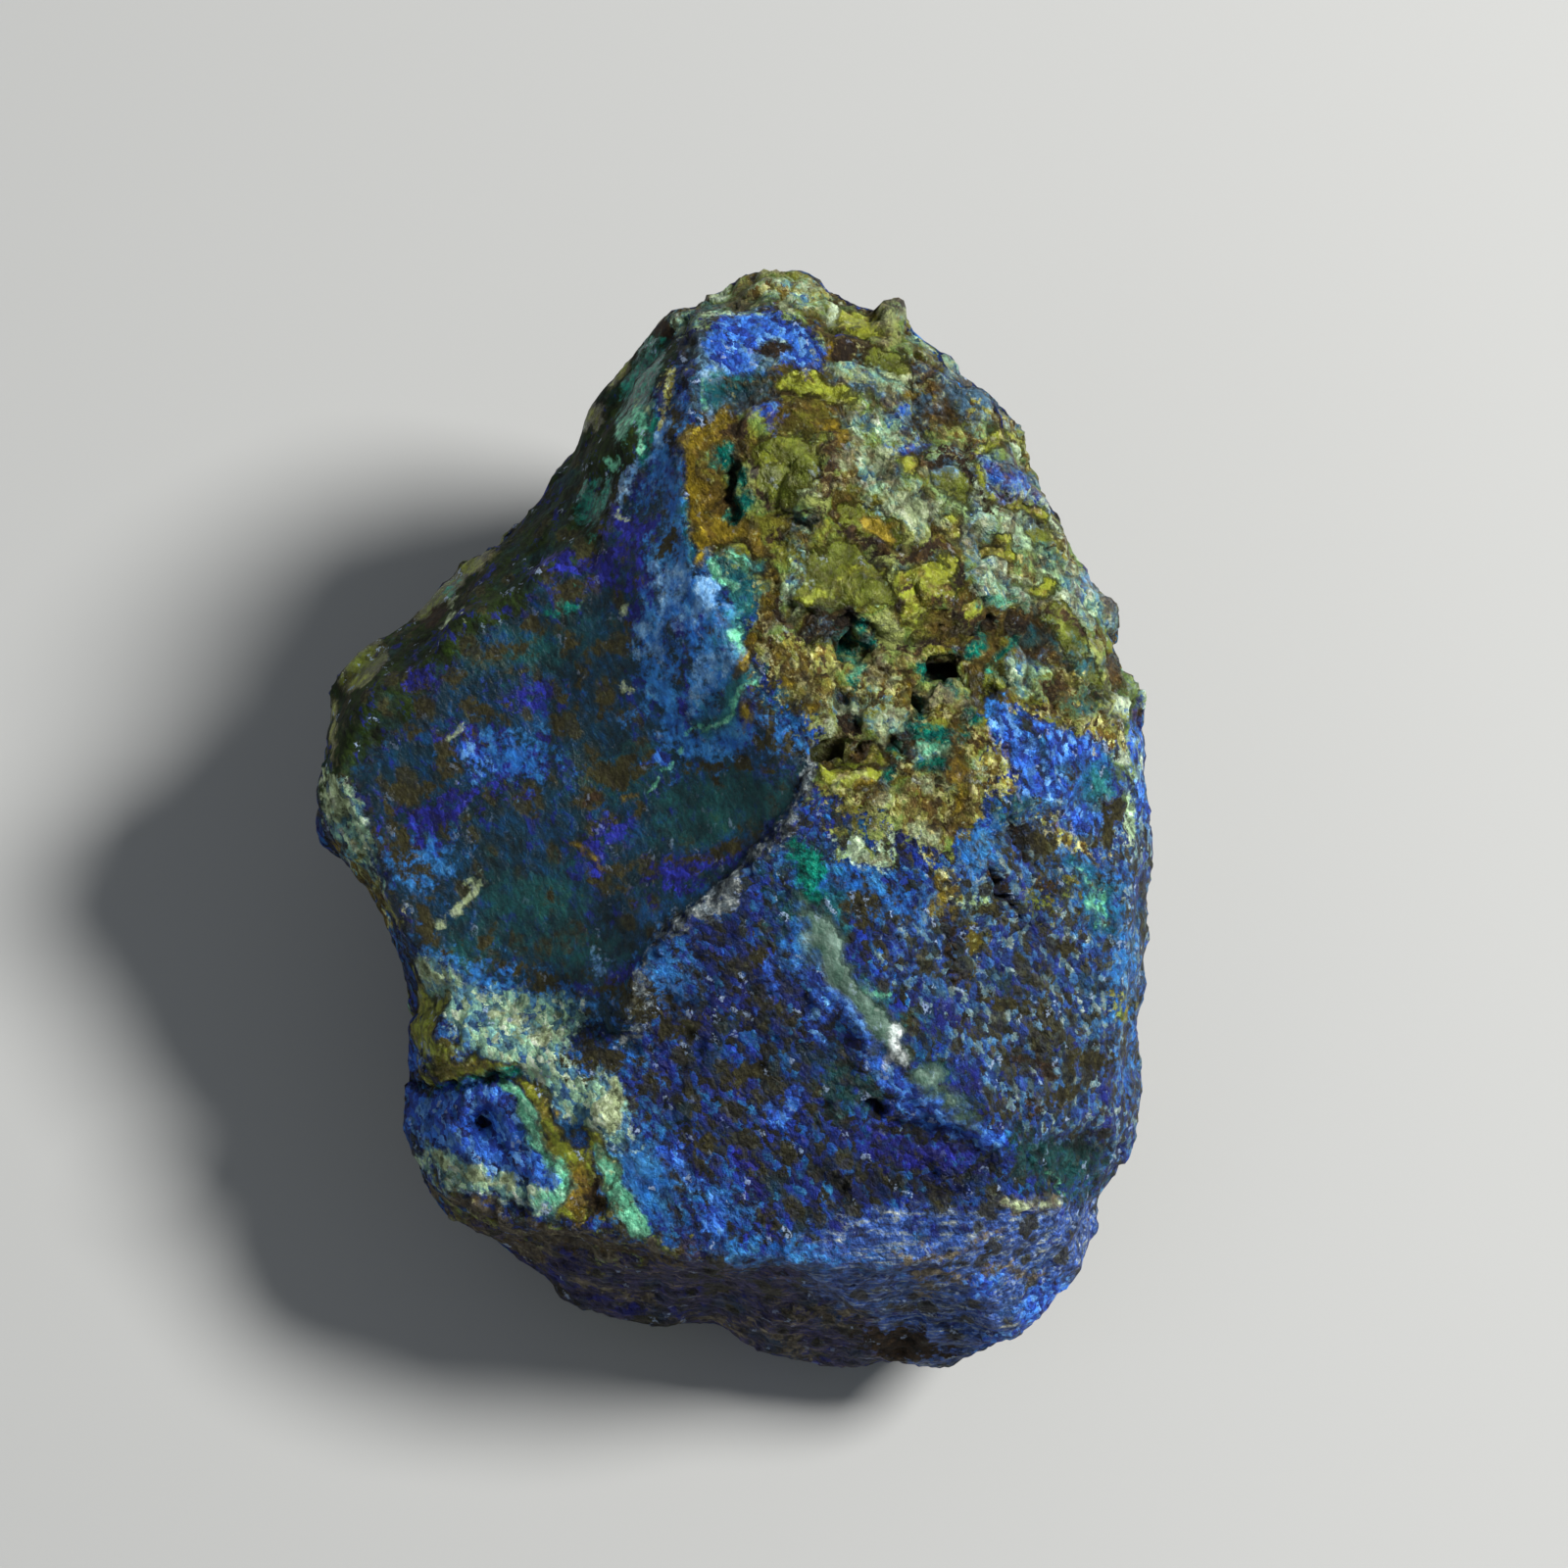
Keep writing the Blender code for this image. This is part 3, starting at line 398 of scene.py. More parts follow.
            (10.6, 12.3, 0.15, 0.5, 0), (5.6, 5.4, 0.7, 0.6, 0), (14.4, -11.4, 0.9, 0.4, 0),
            (14.8, -13.2, 0.5, 0.4, 0), (8.2, -25.5, 2.4, 0.8, -8), (17.2, -22.3, 0.7, 0.5, 0),
            (9.0, 11.8, 0.35, 0.2, 0), (8.4, 10.9, 0.2, 0.2, 0), (-6.6, 1.2, 0.4, 0.3, 0),
            (-15.0, 10.6, 1.2, 0.4, 25), (-3.5, 24.4, 0.6, 0.6, 0), (8.0, 25.4, 0.7, 0.6, 30),
            (5.8, 23.2, 0.8, 0.6, 0), (-6.8, -17.7, 0.25, 0.8, 20),
        ],
        "streaks": [
            # these streaks follow cracks of the relief: brown between the blocks, and painted shadow in the
            # cracks and under the small ledges
            (breakLines["overCavities"], 0.20),
            (breakLines["underTopBlocks"], 0.20),
            (breakLines["roundBigBlock"], 0.13),
            (breakLines["besideBigBlock"], 0.17),
            (breakLines["highRight"], 0.22),
            ([(11.6, 18.6), (11.4, 17.4), (11.9, 16.2), (12.6, 15.6)], 0.16),
            ([(15.2, 10.6), (16.6, 9.8), (17.2, 9.6)], 0.15),
            ([(10.9, 10.9), (11.9, 10.1)], 0.20),
            ([(10.2, -4.4), (10.4, -5.8), (10.6, -7.2)], 0.14),
            ([(12.5, -2.1), (13.1, -2.9), (13.7, -3.9)], 0.17),
            ([(13.3, 0.5), (13.9, -0.4), (14.4, -1.5)], 0.13),
        ],
        "elsewhere": (4.0, 0.05, 47.0),
    },
    "teal": {
        "spots": [
            (-4.5, 21.6, 0.7, 2.3, -8), (-4.3, 18.8, 0.4, 1.4, 0), (-6.6, 16.3, 0.4, 0.7, 0),
            (5.6, 8.7, 0.5, 0.6, 0), (6.0, 7.6, 0.25, 0.5, 0), (9.7, 4.6, 1.2, 0.6, 5),
            (9.0, 5.5, 0.5, 0.7, 0), (9.2, 7.6, 0.6, 0.7, 0), (11.6, 6.0, 0.4, 0.8, 0),
            (10.6, 7.2, 0.7, 0.4, -10), (9.8, 2.8, 0.6, 0.5, 0), (7.8, 4.0, 0.5, 0.4, -30),
            (7.4, 2.5, 0.4, 0.6, 0), (3.4, -1.8, 0.8, 1.3, 25), (3.9, -3.0, 0.8, 0.6, 0),
            (-12.8, -14.5, 1.3, 0.6, -8), (-11.9, -15.2, 0.7, 0.35, -40), (12.8, 10.9, 0.4, 0.3, 0),
            (-14.0, 11.9, 0.5, 0.3, 40), (-8.0, 10.9, 0.5, 0.3, 0), (6.6, 9.3, 0.5, 0.4, 0),
            (12.0, 9.3, 0.8, 0.3, 15), (-7.0, 16.0, 0.5, 1.3, -20),
        ],
        "streaks": [
            ([(12.6, 7.8), (13.2, 8.4), (13.8, 8.8)], 0.26),
            ([(-14.4, -12.9), (-13.0, -12.6), (-11.6, -12.1), (-10.3, -11.7)], 0.26),
            ([(-0.2, 18.2), (0.1, 16.8), (0.0, 15.2)], 0.30),
        ],
        "elsewhere": (3.2, 0.04, 53.0),
    },
    "cobalt": {
        "areas": [
            [
                (-16.4, -13.4), (-14.2, -12.9), (-11.6, -12.4), (-11.0, -13.2), (-10.2, -14.2),
                (-9.2, -15.4), (-8.6, -16.6), (-8.6, -17.5), (-10.2, -17.4), (-11.4, -16.8), (-13.0, -16.2),
                (-15.0, -16.0), (-16.0, -15.2), (-16.6, -14.4),
            ],
            [
                (-0.2, 24.0), (0.8, 24.6), (1.4, 25.0), (2.4, 24.9), (3.8, 24.3), (4.3, 23.4), (4.9, 22.4),
                (4.4, 22.0), (2.2, 22.0), (2.7, 22.8), (2.8, 23.6), (2.0, 24.0), (1.0, 23.8), (0.7, 22.8),
                (0.8, 21.8), (-0.8, 22.2), (-0.9, 23.2),
            ],
        ],
        "streaks": [
            ([
                (3.5, -6.7), (4.4, -7.6), (5.4, -8.7), (6.4, -10.0), (7.0, -11.2), (7.9, -12.0),
                (9.0, -13.1), (10.4, -13.6), (11.4, -14.3), (12.2, -14.7),
            ], 0.46),
        ],
        "spots": [
            (3.4, 22.4, 1.1, 0.5, 5), (3.4, 23.4, 0.7, 0.8, -18), (13.4, 17.3, 1.1, 0.4, -35),
            (14.8, 16.3, 1.2, 0.35, -25), (12.9, 16.4, 0.6, 0.3, -30), (20.0, 4.2, 0.5, 1.2, 0),
            (20.2, 1.8, 0.4, 1.2, 0), (14.2, 3.3, 1.1, 0.8, -45), (13.0, 4.7, 0.6, 0.8, 20),
            (16.6, 3.9, 1.4, 0.6, -20), (15.0, 1.8, 1.4, 0.5, 0), (16.8, 0.6, 0.9, 0.4, 0),
            (-9.6, -16.4, 1.4, 0.8, -32), (-11.8, -16.2, 0.9, 0.5, 0), (-13.6, -15.4, 1.4, 0.4, 8),
            (-10.9, -14.3, 0.4, 0.6, 0), (-12.3, -13.2, 0.4, 0.5, 0), (-14.4, -14.2, 1.4, 0.25, 5),
            (15.5, -24.0, 1.3, 1.6, -20), (12.3, -22.1, 1.2, 0.5, 0), (18.5, -19.2, 0.4, 1.0, 0),
            (-12.4, 3.3, 0.5, 0.3, -25), (-3.2, 3.2, 0.6, 0.5, 0), (-15.6, -11.5, 0.35, 0.8, 0),
            (7.9, 20.3, 0.5, 0.3, -20), (-1.0, -18.9, 0.5, 0.9, 15), (13.6, -25.6, 1.6, 0.7, 15),
            (1.8, -7.0, 0.4, 0.7, 0), (2.6, -13.2, 0.6, 0.35, 30), (-2.8, -16.2, 0.9, 0.5, -40),
            (8.6, 18.3, 0.7, 0.25, 0), (1.6, 19.8, 0.5, 0.35, 0), (4.3, -9.2, 0.35, 0.7, 0),
        ],
        "elsewhere": (3.0, 0.045, 59.0),
    },
    "cream": {
        "spots": [
            (-13.1, -3.1, 0.62, 0.42, 42), (-14.1, -4.1, 0.25, 0.2, 45), (-6.1, -13.8, 0.8, 1.2, -10),
            # the last spot on this line and the first two on the next are painted highlights along the
            # lower-left edge
            (-8.6, -9.6, 0.5, 0.3, -25), (-10.5, -9.2, 1.2, 0.3, -5), (-14.0, -16.6, 1.0, 0.3, -8),
            (-12.2, -17.3, 0.6, 0.35, 0), (-11.1, -17.3, 0.5, 0.3, 0), (-14.8, -7.2, 0.3, 0.8, 35),
            (-10.5, -10.8, 0.3, 0.25, 0), (8.8, 15.6, 1.3, 0.65, -12), (8.0, 16.3, 0.5, 0.3, 0),
            (9.4, 15.0, 0.5, 0.3, 0), (10.2, 14.5, 0.4, 0.25, 0), (12.1, 14.9, 0.25, 0.5, 0),
            (11.4, 13.4, 0.4, 0.35, -40), (9.9, 23.4, 0.9, 0.22, -38), (6.2, 21.7, 1.1, 0.15, -20),
            (5.4, 25.6, 0.35, 0.25, 0), (8.2, 24.8, 0.4, 0.15, 30), (7.7, 5.4, 0.5, 0.5, 30),
            (7.2, 4.6, 0.4, 0.3, 40), (4.2, 4.8, 0.35, 0.4, 0), (6.7, 1.0, 0.45, 0.3, 0),
            (3.7, 6.3, 0.22, 0.7, -15), (9.2, 1.9, 0.6, 0.25, 0), (1.4, 7.8, 0.5, 0.3, 30),
            (9.4, -0.2, 0.4, 0.3, 0), (14.0, -18.0, 0.8, 0.15, 0), (-5.3, 15.0, 0.22, 0.12, 10),
            (-4.6, 6.6, 0.15, 0.22, 0), (-13.3, 4.1, 0.24, 0.1, 50), (-5.3, 10.9, 0.2, 0.16, 0),
            (-13.6, 10.6, 0.42, 0.16, -60), (0.7, 1.4, 0.13, 0.12, 0), (-4.6, 20.4, 0.12, 0.2, 0),
            (-0.4, 24.5, 0.25, 0.12, 0), (3.6, 26.6, 0.5, 0.3, 0), (2.9, 25.6, 0.3, 0.5, 0),
            (8.6, 22.0, 1.1, 0.12, 0), (13.9, 12.4, 0.5, 0.25, 0), (16.6, 12.6, 0.5, 0.2, 40),
            (4.0, 16.3, 0.3, 0.3, 0), (5.2, 17.6, 0.7, 0.3, -30), (7.0, 18.0, 0.8, 0.3, 0),
            (12.3, 18.5, 0.22, 0.12, 0), (7.0, 7.0, 0.6, 0.2, 30), (5.4, 6.0, 0.8, 0.2, 0),
        ],
        "streaks": [
            ([(-20.4, 2.2), (-19.5, 0.8)], 0.30),
        ],
        "elsewhere": (2.6, 0.025, 61.0),
    },
    "mint": {
        "spots": [
            (-5.4, -18.2, 0.5, 1.2, 38), (-9.0, -18.2, 0.4, 0.6, 0), (0.1, 9.1, 0.25, 0.8, 10),
            (6.0, 7.7, 0.2, 0.4, 0), (-0.6, 11.9, 0.4, 0.5, 0), (6.9, -7.7, 0.5, 0.14, 5),
            (0.5, 12.6, 0.4, 0.2, 0), (-5.9, 18.4, 0.2, 0.4, 0), (9.9, 3.7, 0.6, 0.35, 0),
            (13.6, 10.6, 0.5, 0.3, -30),
        ],
        "streaks": [
            ([
                (-11.4, -12.3), (-10.7, -13.1), (-10.1, -13.9), (-9.5, -14.8), (-8.9, -15.8), (-8.4, -16.6),
                (-8.4, -17.4), (-8.8, -18.4),
            ], 0.36),
            ([(-6.6, -16.4), (-6.0, -17.2), (-5.2, -18.3), (-4.3, -19.5)], 0.44),
            ([(-5.1, 20.2), (-4.9, 19.2), (-4.8, 18.0)], 0.20),
            # this thin streak is a painted highlight along the small crack beside it
            ([(-2.0, 4.4), (-0.8, 5.1), (0.6, 5.9), (1.4, 7.2)], 0.10),
            ([(-3.6, 1.4), (-2.8, 2.6), (-2.4, 3.8)], 0.07),
            ([(-1.1, 20.2), (-1.0, 21.6)], 0.10),
            ([(16.4, -2.0), (17.8, -4.2)], 0.12),
            ([(15.0, -16.4), (15.8, -17.8)], 0.08),
        ],
        "elsewhere": (2.4, 0.012, 67.0),
    },
    "vein": {
        "areas": [[
            (3.0, -3.3), (3.5, -3.4), (4.6, -4.4), (5.5, -5.5), (6.5, -6.8), (7.1, -8.0), (8.0, -9.4),
            (8.4, -10.4), (8.3, -11.3), (7.6, -11.5), (7.2, -10.5), (6.3, -9.7), (5.4, -8.5), (4.6, -7.3),
            (3.6, -6.0), (3.2, -4.8),
        ]],
        "spots": [(9.3, -12.0, 0.6, 0.7, 20), (10.6, -12.9, 0.8, 0.35, -25), (11.5, -13.6, 0.5, 0.3, -40)],
        "elsewhere": None,
    },
    # a painted highlight: white spots where light shines off the glassy vein
    "paintedVeinHighlight": {
        "spots": [(7.9, -10.5, 0.32, 0.75, 8), (7.5, -11.1, 0.35, 0.2, 20)],
        "elsewhere": None,
    },
    "crushed": {
        "streaks": [
            ([(4.1, 3.8), (4.0, 2.2), (3.3, 0.8), (1.7, -1.1), (-0.2, -3.0)], 0.26),
            ([(-0.1, -2.9), (-1.6, -3.9), (-2.9, -4.8)], 0.32),
            ([(-2.9, -4.8), (-4.0, -6.6), (-4.8, -8.6), (-5.4, -10.4)], 0.10),
        ],
        "elsewhere": None,
    },
    "paleCrust": {
        "areas": [
            [
                (-15.2, -6.2), (-13.2, -7.5), (-11.0, -8.1), (-9.2, -8.3), (-7.6, -8.7), (-7.4, -9.6),
                (-8.0, -10.4), (-7.6, -11.2), (-6.8, -11.8), (-5.6, -12.8), (-4.9, -14.2), (-4.8, -15.4),
                (-5.8, -16.0), (-6.8, -15.6), (-7.4, -14.8), (-8.4, -13.6), (-9.4, -12.4), (-10.4, -11.2),
                (-12.4, -11.2), (-13.6, -10.8), (-14.4, -9.2), (-15.2, -7.6),
            ],
            [
                (-15.8, -16.0), (-14.4, -16.2), (-13.0, -15.9), (-12.6, -16.7), (-11.2, -16.8),
                (-10.2, -17.2), (-8.6, -17.6), (-8.6, -18.9), (-9.4, -19.0), (-10.8, -18.3), (-12.8, -18.0),
                (-14.2, -17.6), (-15.6, -17.0),
            ],
        ],
        "spots": [
            (8.8, 15.6, 1.4, 0.7, -15), (11.6, 14.0, 1.8, 0.6, -45), (12.6, 11.6, 1.4, 0.7, -40),
            (3.0, 26.4, 1.4, 0.7, 0), (6.6, 22.0, 1.7, 0.4, -24), (9.8, 23.6, 1.6, 0.5, -38),
            (6.4, 17.4, 1.6, 0.7, -25), (7.2, 19.3, 1.4, 0.4, -20), (5.9, 6.2, 1.5, 0.5, 15),
            (7.7, 5.1, 0.9, 0.5, 0), (9.4, 3.5, 0.9, 0.5, 0), (14.2, 7.3, 0.6, 0.5, 0),
            (-19.5, 0.8, 0.8, 1.5, 25), (17.4, 11.0, 0.6, 1.6, 35), (16.4, 12.2, 0.8, 0.5, 30),
            (-18.4, -1.6, 0.7, 1.8, 25), (2.4, 11.4, 0.3, 1.6, -30), (-1.0, 24.8, 1.6, 0.3, -5),
        ],
        "elsewhere": (3.0, 0.04, 79.0),
    },
    # the hackly right face: grey-brown and blue grains, lightened with pale grey tones that paint the sheen
    # of the light on it
    "dustyAndSheen": {
        "areas": [[
            (8.6, -2.4), (10.4, -0.4), (12.2, 1.0), (14.4, 2.0), (17.6, 3.4), (20.4, 4.8), (22.4, 3.0),
            (22.4, -14.0), (19.0, -16.6), (15.0, -15.6), (13.0, -13.6), (10.6, -11.6), (8.6, -8.4),
            (7.6, -5.0),
        ]],
        "elsewhere": (6.0, 0.22, 73.0),
    },
    # the right part of the bottom wall: bluer layers, painted lighter than the left part for the light that
    # falls on it, with whitish painted glints
    "bluerLayersAndLight": {
        "areas": [[
            (3.0, -19.6), (6.0, -18.8), (10.0, -18.6), (13.0, -18.2), (16.0, -18.6), (19.0, -17.8),
            (20.6, -18.0), (19.4, -22.0), (17.0, -25.4), (13.0, -28.0), (8.0, -27.0), (6.4, -24.4),
            (4.4, -22.6), (2.4, -21.2),
        ]],
        "elsewhere": (9.0, 0.06, 97.0),
    },
    "layered": {
        "areas": [[
            (-15.6, -18.0), (-12.0, -19.2), (-9.0, -19.9), (-5.0, -20.1), (-2.0, -20.6), (1.0, -21.0),
            (5.0, -21.2), (8.8, -20.4), (12.6, -19.6), (16.4, -19.4), (20.4, -18.8), (21.0, -22.0),
            (18.0, -28.0), (11.0, -30.0), (2.0, -29.0), (-8.0, -26.0), (-14.0, -22.4), (-18.0, -18.4),
        ]],
        "elsewhere": (14.0, 0.20, 71.0),
    },
}

# The fine relief, in the same measures: pits and knobs are spots with a depth or height at their end,
# cracks and ribs are lines with their half width and their depth or height.
relief = {
    "pits": [
        (5.2, -17.2, 1.5, 0.7, -35, 0.32), (8.6, -17.3, 3.0, 0.7, 0, 0.34),
        (11.8, -16.5, 1.7, 0.6, 28, 0.3), (17.4, -15.4, 2.2, 1.0, -8, 0.45),
        (9.0, -14.9, 3.4, 0.9, -5, 0.25), (4.8, 3.8, 0.9, 0.5, 30, 1.2), (5.7, 5.0, 0.9, 0.5, -15, 0.7),
        (5.3, 6.1, 0.4, 0.6, 0, 0.5), (10.2, 7.4, 0.8, 0.5, -20, 1.3), (9.3, 7.0, 0.4, 0.5, 0, 0.7),
        (9.0, 6.1, 0.4, 0.55, 0, 1.0), (5.6, 8.7, 0.5, 0.6, 0, 0.5), (8.0, 4.0, 1.0, 0.4, -25, 0.7),
        (11.3, 5.4, 0.3, 0.5, 0, 0.5), (10.2, 3.0, 0.3, 0.4, 0, 0.5), (3.1, 6.0, 0.7, 0.35, -30, 0.4),
        (3.4, 4.6, 0.4, 0.3, 0, 0.4), (2.4, 7.4, 0.3, 0.4, 20, 0.3), (6.6, 6.2, 0.5, 0.3, 0, 0.4),
        (12.4, 6.6, 0.4, 0.3, 0, 0.3), (-12.2, -14.5, 0.5, 0.2, -25, 0.7),
        (7.0, -13.5, 0.45, 0.25, 35, 0.8), (5.0, 24.4, 0.3, 0.7, 15, 0.5), (15.5, 6.4, 0.3, 0.6, 10, 0.5),
        (0.0, 16.7, 0.3, 1.5, 3, 0.6), (11.9, 14.6, 0.3, 0.6, 0, 0.4), (7.0, 13.2, 0.6, 0.25, 0, 0.4),
        (2.4, 13.9, 0.5, 0.3, -30, 0.4), (8.3, 4.3, 0.6, 0.3, 20, 0.5), (1.7, 23.2, 0.7, 0.4, 0, 0.25),
        (-1.3, 15.3, 0.3, 0.2, 0, 0.3), (11.0, 7.0, 0.3, 0.3, 0, 0.4),
    ],
    "knobs": [
        (7.7, 25.0, 0.9, 0.7, -15, 0.75), (14.6, -18.2, 2.2, 0.6, -5, 0.35), (5.8, 2.4, 1.2, 0.7, 0, 0.40),
        (7.7, 5.2, 0.6, 0.7, 30, 0.35), (4.2, 4.7, 0.3, 0.5, 0, 0.3), (9.9, 6.1, 0.6, 0.45, 0, 0.5),
        (6.5, 4.9, 0.4, 0.5, 0, 0.3), (-6.3, -13.8, 1.1, 0.9, -30, 0.30),
        (-13.1, -3.1, 0.8, 0.35, 42, -0.12), (8.0, 25.4, 0.5, 0.4, 0, 0.30), (2.6, 17.3, 1.8, 1.8, 0, 0.14),
        (9.4, 11.4, 1.6, 1.5, 20, 0.14), (13.6, 17.0, 1.8, 1.0, -30, 0.12),
        (-8.6, -9.8, 0.7, 0.3, -20, 0.25), (10.6, 6.8, 0.4, 0.3, 0, 0.3), (7.2, 8.0, 0.6, 0.5, 0, 0.3),
    ],
    "cracks": [
        ([(12.4, -2.1), (13.1, -2.9), (13.8, -4.0)], 0.36, 0.85),
        ([(13.3, 0.5), (13.9, -0.5), (14.6, -1.7)], 0.30, 0.65),
        ([(10.2, -4.6), (10.4, -5.8), (10.6, -7.2)], 0.15, 0.40),
        ([(7.0, -4.9), (8.0, -5.4)], 0.22, 0.45),
        ([(3.9, -16.2), (4.6, -17.2), (6.0, -17.9), (8.4, -18.0), (10.6, -17.6)], 0.40, 0.24),
        (breakLines["overCavities"], 0.30, 0.45),
        (breakLines["underTopBlocks"], 0.24, 0.35),
        (breakLines["roundBigBlock"], 0.20, 0.25),
        (breakLines["besideBigBlock"], 0.22, 0.30),
        (breakLines["highRight"], 0.24, 0.25),
        ([(11.6, 18.6), (11.4, 17.4), (11.9, 16.2), (12.6, 15.6), (14.4, 15.0)], 0.20, 0.25),
        ([(-16.4, -12.6), (-14.2, -12.9), (-12.6, -12.5), (-11.2, -12.0)], 0.24, 0.40),
        ([(15.2, 10.6), (16.6, 9.8), (17.4, 9.6)], 0.20, 0.25),
        ([(-2.0, 4.2), (-0.8, 4.9), (0.7, 5.7)], 0.20, 0.14),
        ([(13.6, -15.0), (15.0, -16.4), (16.0, -17.9)], 0.22, 0.30),
        ([(4.0, 4.4), (4.1, 2.4)], 0.20, 0.35),
    ],
    "ribs": [
        ([
            (4.0, 2.6), (3.2, 0.8), (1.6, -1.1), (-0.4, -3.3), (-2.9, -4.9), (-4.2, -7.0), (-5.2, -9.4),
        ], 0.45, 0.20),
        ([(-2.2, 18.4), (-2.2, 14.5), (-1.2, 10.9), (0.8, 7.2)], 0.50, 0.12),
    ],
    "stray": 0.55,                     # how far pits and cracks stray from their drawn shapes
    "straySize": 0.7,
    "blockSize": 2.1,                  # of the green mineral's blocks
    "blockLean": 0.35,
    "blockStep": 0.30,
    "seamDepth": 0.20,
    "seamWidth": 0.16,                 # as a share of a block
    # painted shade along the seams between the blocks: its width as a share of a block, and how dark it gets
    "darkSeamWidth": 0.12,
    "darkSeam": 0.35,
    "chipSize": 0.9,                   # of the small chips in rough areas
    "chipLean": 1.0,
    "chipHeight": 0.16,
    "lumps": (0.16, 1.5, 2.0),         # waves: height, size and a place to start the pattern from
    "swell": (0.05, 4.5, 4.0),
    "grain": (0.08, 0.45, 6.0),
    "strata": (0.13, 1.2, 8.0),
    "strataSquash": (0.22, 0.9, 1.6),
    "rippleMiddle": (3.0, 3.0),        # of the shell-like ripples on the smooth face
    "rippleHeight": 0.03,
    "ripplePitch": 1.9,
    "smoothShare": 0.82,               # how much of the roughness the smooth face loses
    "glassyShare": 0.72,               # and the glassy areas
    "glassyBlocks": 0.55,              # how much of their blocks' height these lose
}


def drawnPlaces(points):
    # points of the row, in mm, as they are drawn: u, v and w
    lean = math.radians(shape["lean"])
    across = points[:, 0] + shape["middle"][0]
    along = points[:, 1] + shape["middle"][1]
    up = points[:, 2] - shape["lift"]
    return np.stack((
        across,
        along * math.cos(lean) + up * math.sin(lean),
        up * math.cos(lean) - along * math.sin(lean),
    ), axis=1)


def fromLine(spots, line):
    # how far each spot is from a line of points
    nearest = np.full(len(spots), 1e9)
    for start, end in zip(line, line[1:]):
        start, run = np.array(start), np.array(end) - np.array(start)
        along = np.clip((spots - start) @ run / (run @ run), 0.0, 1.0)
        nearest = np.minimum(nearest, np.linalg.norm(spots - start - along[:, None] * run, axis=1))
    return nearest


def inSpot(spots, u, v, wide, tall, turn):
    # how deep each spot lies in an oval, below 0 outside it
    c, s = math.cos(math.radians(turn)), math.sin(math.radians(turn))
    du, dv = spots[:, 0] - u, spots[:, 1] - v
    away = np.hypot((du * c + dv * s) / wide, (dv * c - du * s) / tall)
    return (1.0 - away) * min(wide, tall)


def inArea(spots, outline):
    # how deep each spot lies in an outline, below 0 outside it
    inside = np.zeros(len(spots), bool)
    closed = outline + outline[:1]
    for (u0, v0), (u1, v1) in zip(closed, closed[1:]):
        crosses = (v0 > spots[:, 1]) != (v1 > spots[:, 1])
        if v0 != v1:
            inside ^= crosses & (spots[:, 0] < (u1 - u0) * (spots[:, 1] - v0) / (v1 - v0) + u0)
    away = fromLine(spots, closed)
    return np.where(inside, away, -away)


def ease(share):
    share = np.clip(share, 0.0, 1.0)
    return share * share * (3.0 - 2.0 * share)


def fieldOf(mineral, spots):
    # how deep each spot of the face lies in a mineral's patches, in mm
    field = np.full(len(spots), -9.0)
    for outline in mineral.get("areas", []):
        field = np.maximum(field, inArea(spots, outline))
    for spot in mineral.get("spots", []):
        field = np.maximum(field, inSpot(spots, *spot))
    for line, halfWidth in mineral.get("streaks", []):
        field = np.maximum(field, halfWidth - fromLine(spots, line))
    return field


def roll(points, size, seed):
    # slow even noise, about -0.5 to 0.5, with features of the size given in mm
    shift = Vector((seed, -seed * 0.7, seed * 1.3))
    return np.array([noise.noise(Vector(p) / size + shift) for p in points])


def crags(points, size, seed, octaves=4):
    shift = Vector((seed, -seed * 0.7, seed * 1.3))
    return np.array([noise.fractal(Vector(p) / size + shift, 0.8, 2.1, octaves) for p in points])


def blocks(points, size, lean):
    # broken blocks: each one's own height and lean, and how near its edge a point is
    heights, edges = [], []
    for p in points:
        place = Vector(p) / size
        near, middles = noise.voronoi(place)
        own = noise.cell_vector(middles[0] * 9.0) - Vector((0.5, 0.5, 0.5))
        heights.append(own.z + lean * own.dot(place - middles[0]) * size)
        edges.append(near[1] - near[0])
    return np.array(heights), np.array(edges)


def solidInMillimetres():
    # a merged copy of the solid's mesh
    bm = bmesh.new()
    bm.from_mesh(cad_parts[shape["node"]].data)
    bmesh.ops.scale(bm, verts=bm.verts, vec=(1000.0, 1000.0, 1000.0))
    bmesh.ops.remove_doubles(bm, verts=bm.verts, dist=0.001)
    return bm


def shellOfStone():
    # the solid's shape as one even shell, in mm, twice as fine on the face
    bm = solidInMillimetres()
    mesh = bpy.data.meshes.new("solid copy")
    bm.to_mesh(mesh)
    bm.free()
    block = bpy.data.objects.new("solid copy", mesh)
    bpy.context.scene.collection.objects.link(block)
    remesh = block.modifiers.new("shell", "REMESH")
    remesh.mode = "VOXEL"
    remesh.voxel_size = shape["shell"]
    shell = bmesh.new()
    shell.from_object(block, bpy.context.evaluated_depsgraph_get())
    bpy.data.objects.remove(block)
    easeShell(shell, shape["easing"])
    eye = Matrix.Rotation(math.radians(shape["lean"]), 3, "X") @ Vector((0.0, 0.0, 1.0))
    shell.normal_update()
    seen = [face for face in shell.faces if face.normal.dot(eye) > shape["fineFrom"]]
    edges = list({edge for face in seen for edge in face.edges})
    bmesh.ops.subdivide_edges(shell, edges=edges, cuts=1, use_grid_fill=True)
    easeShell(shell, 2)
    sharpen(shell)
    easeShell(shell, 1)
    bmesh.ops.triangulate(shell, faces=[face for face in shell.faces if len(face.verts) > 4])
    return shell


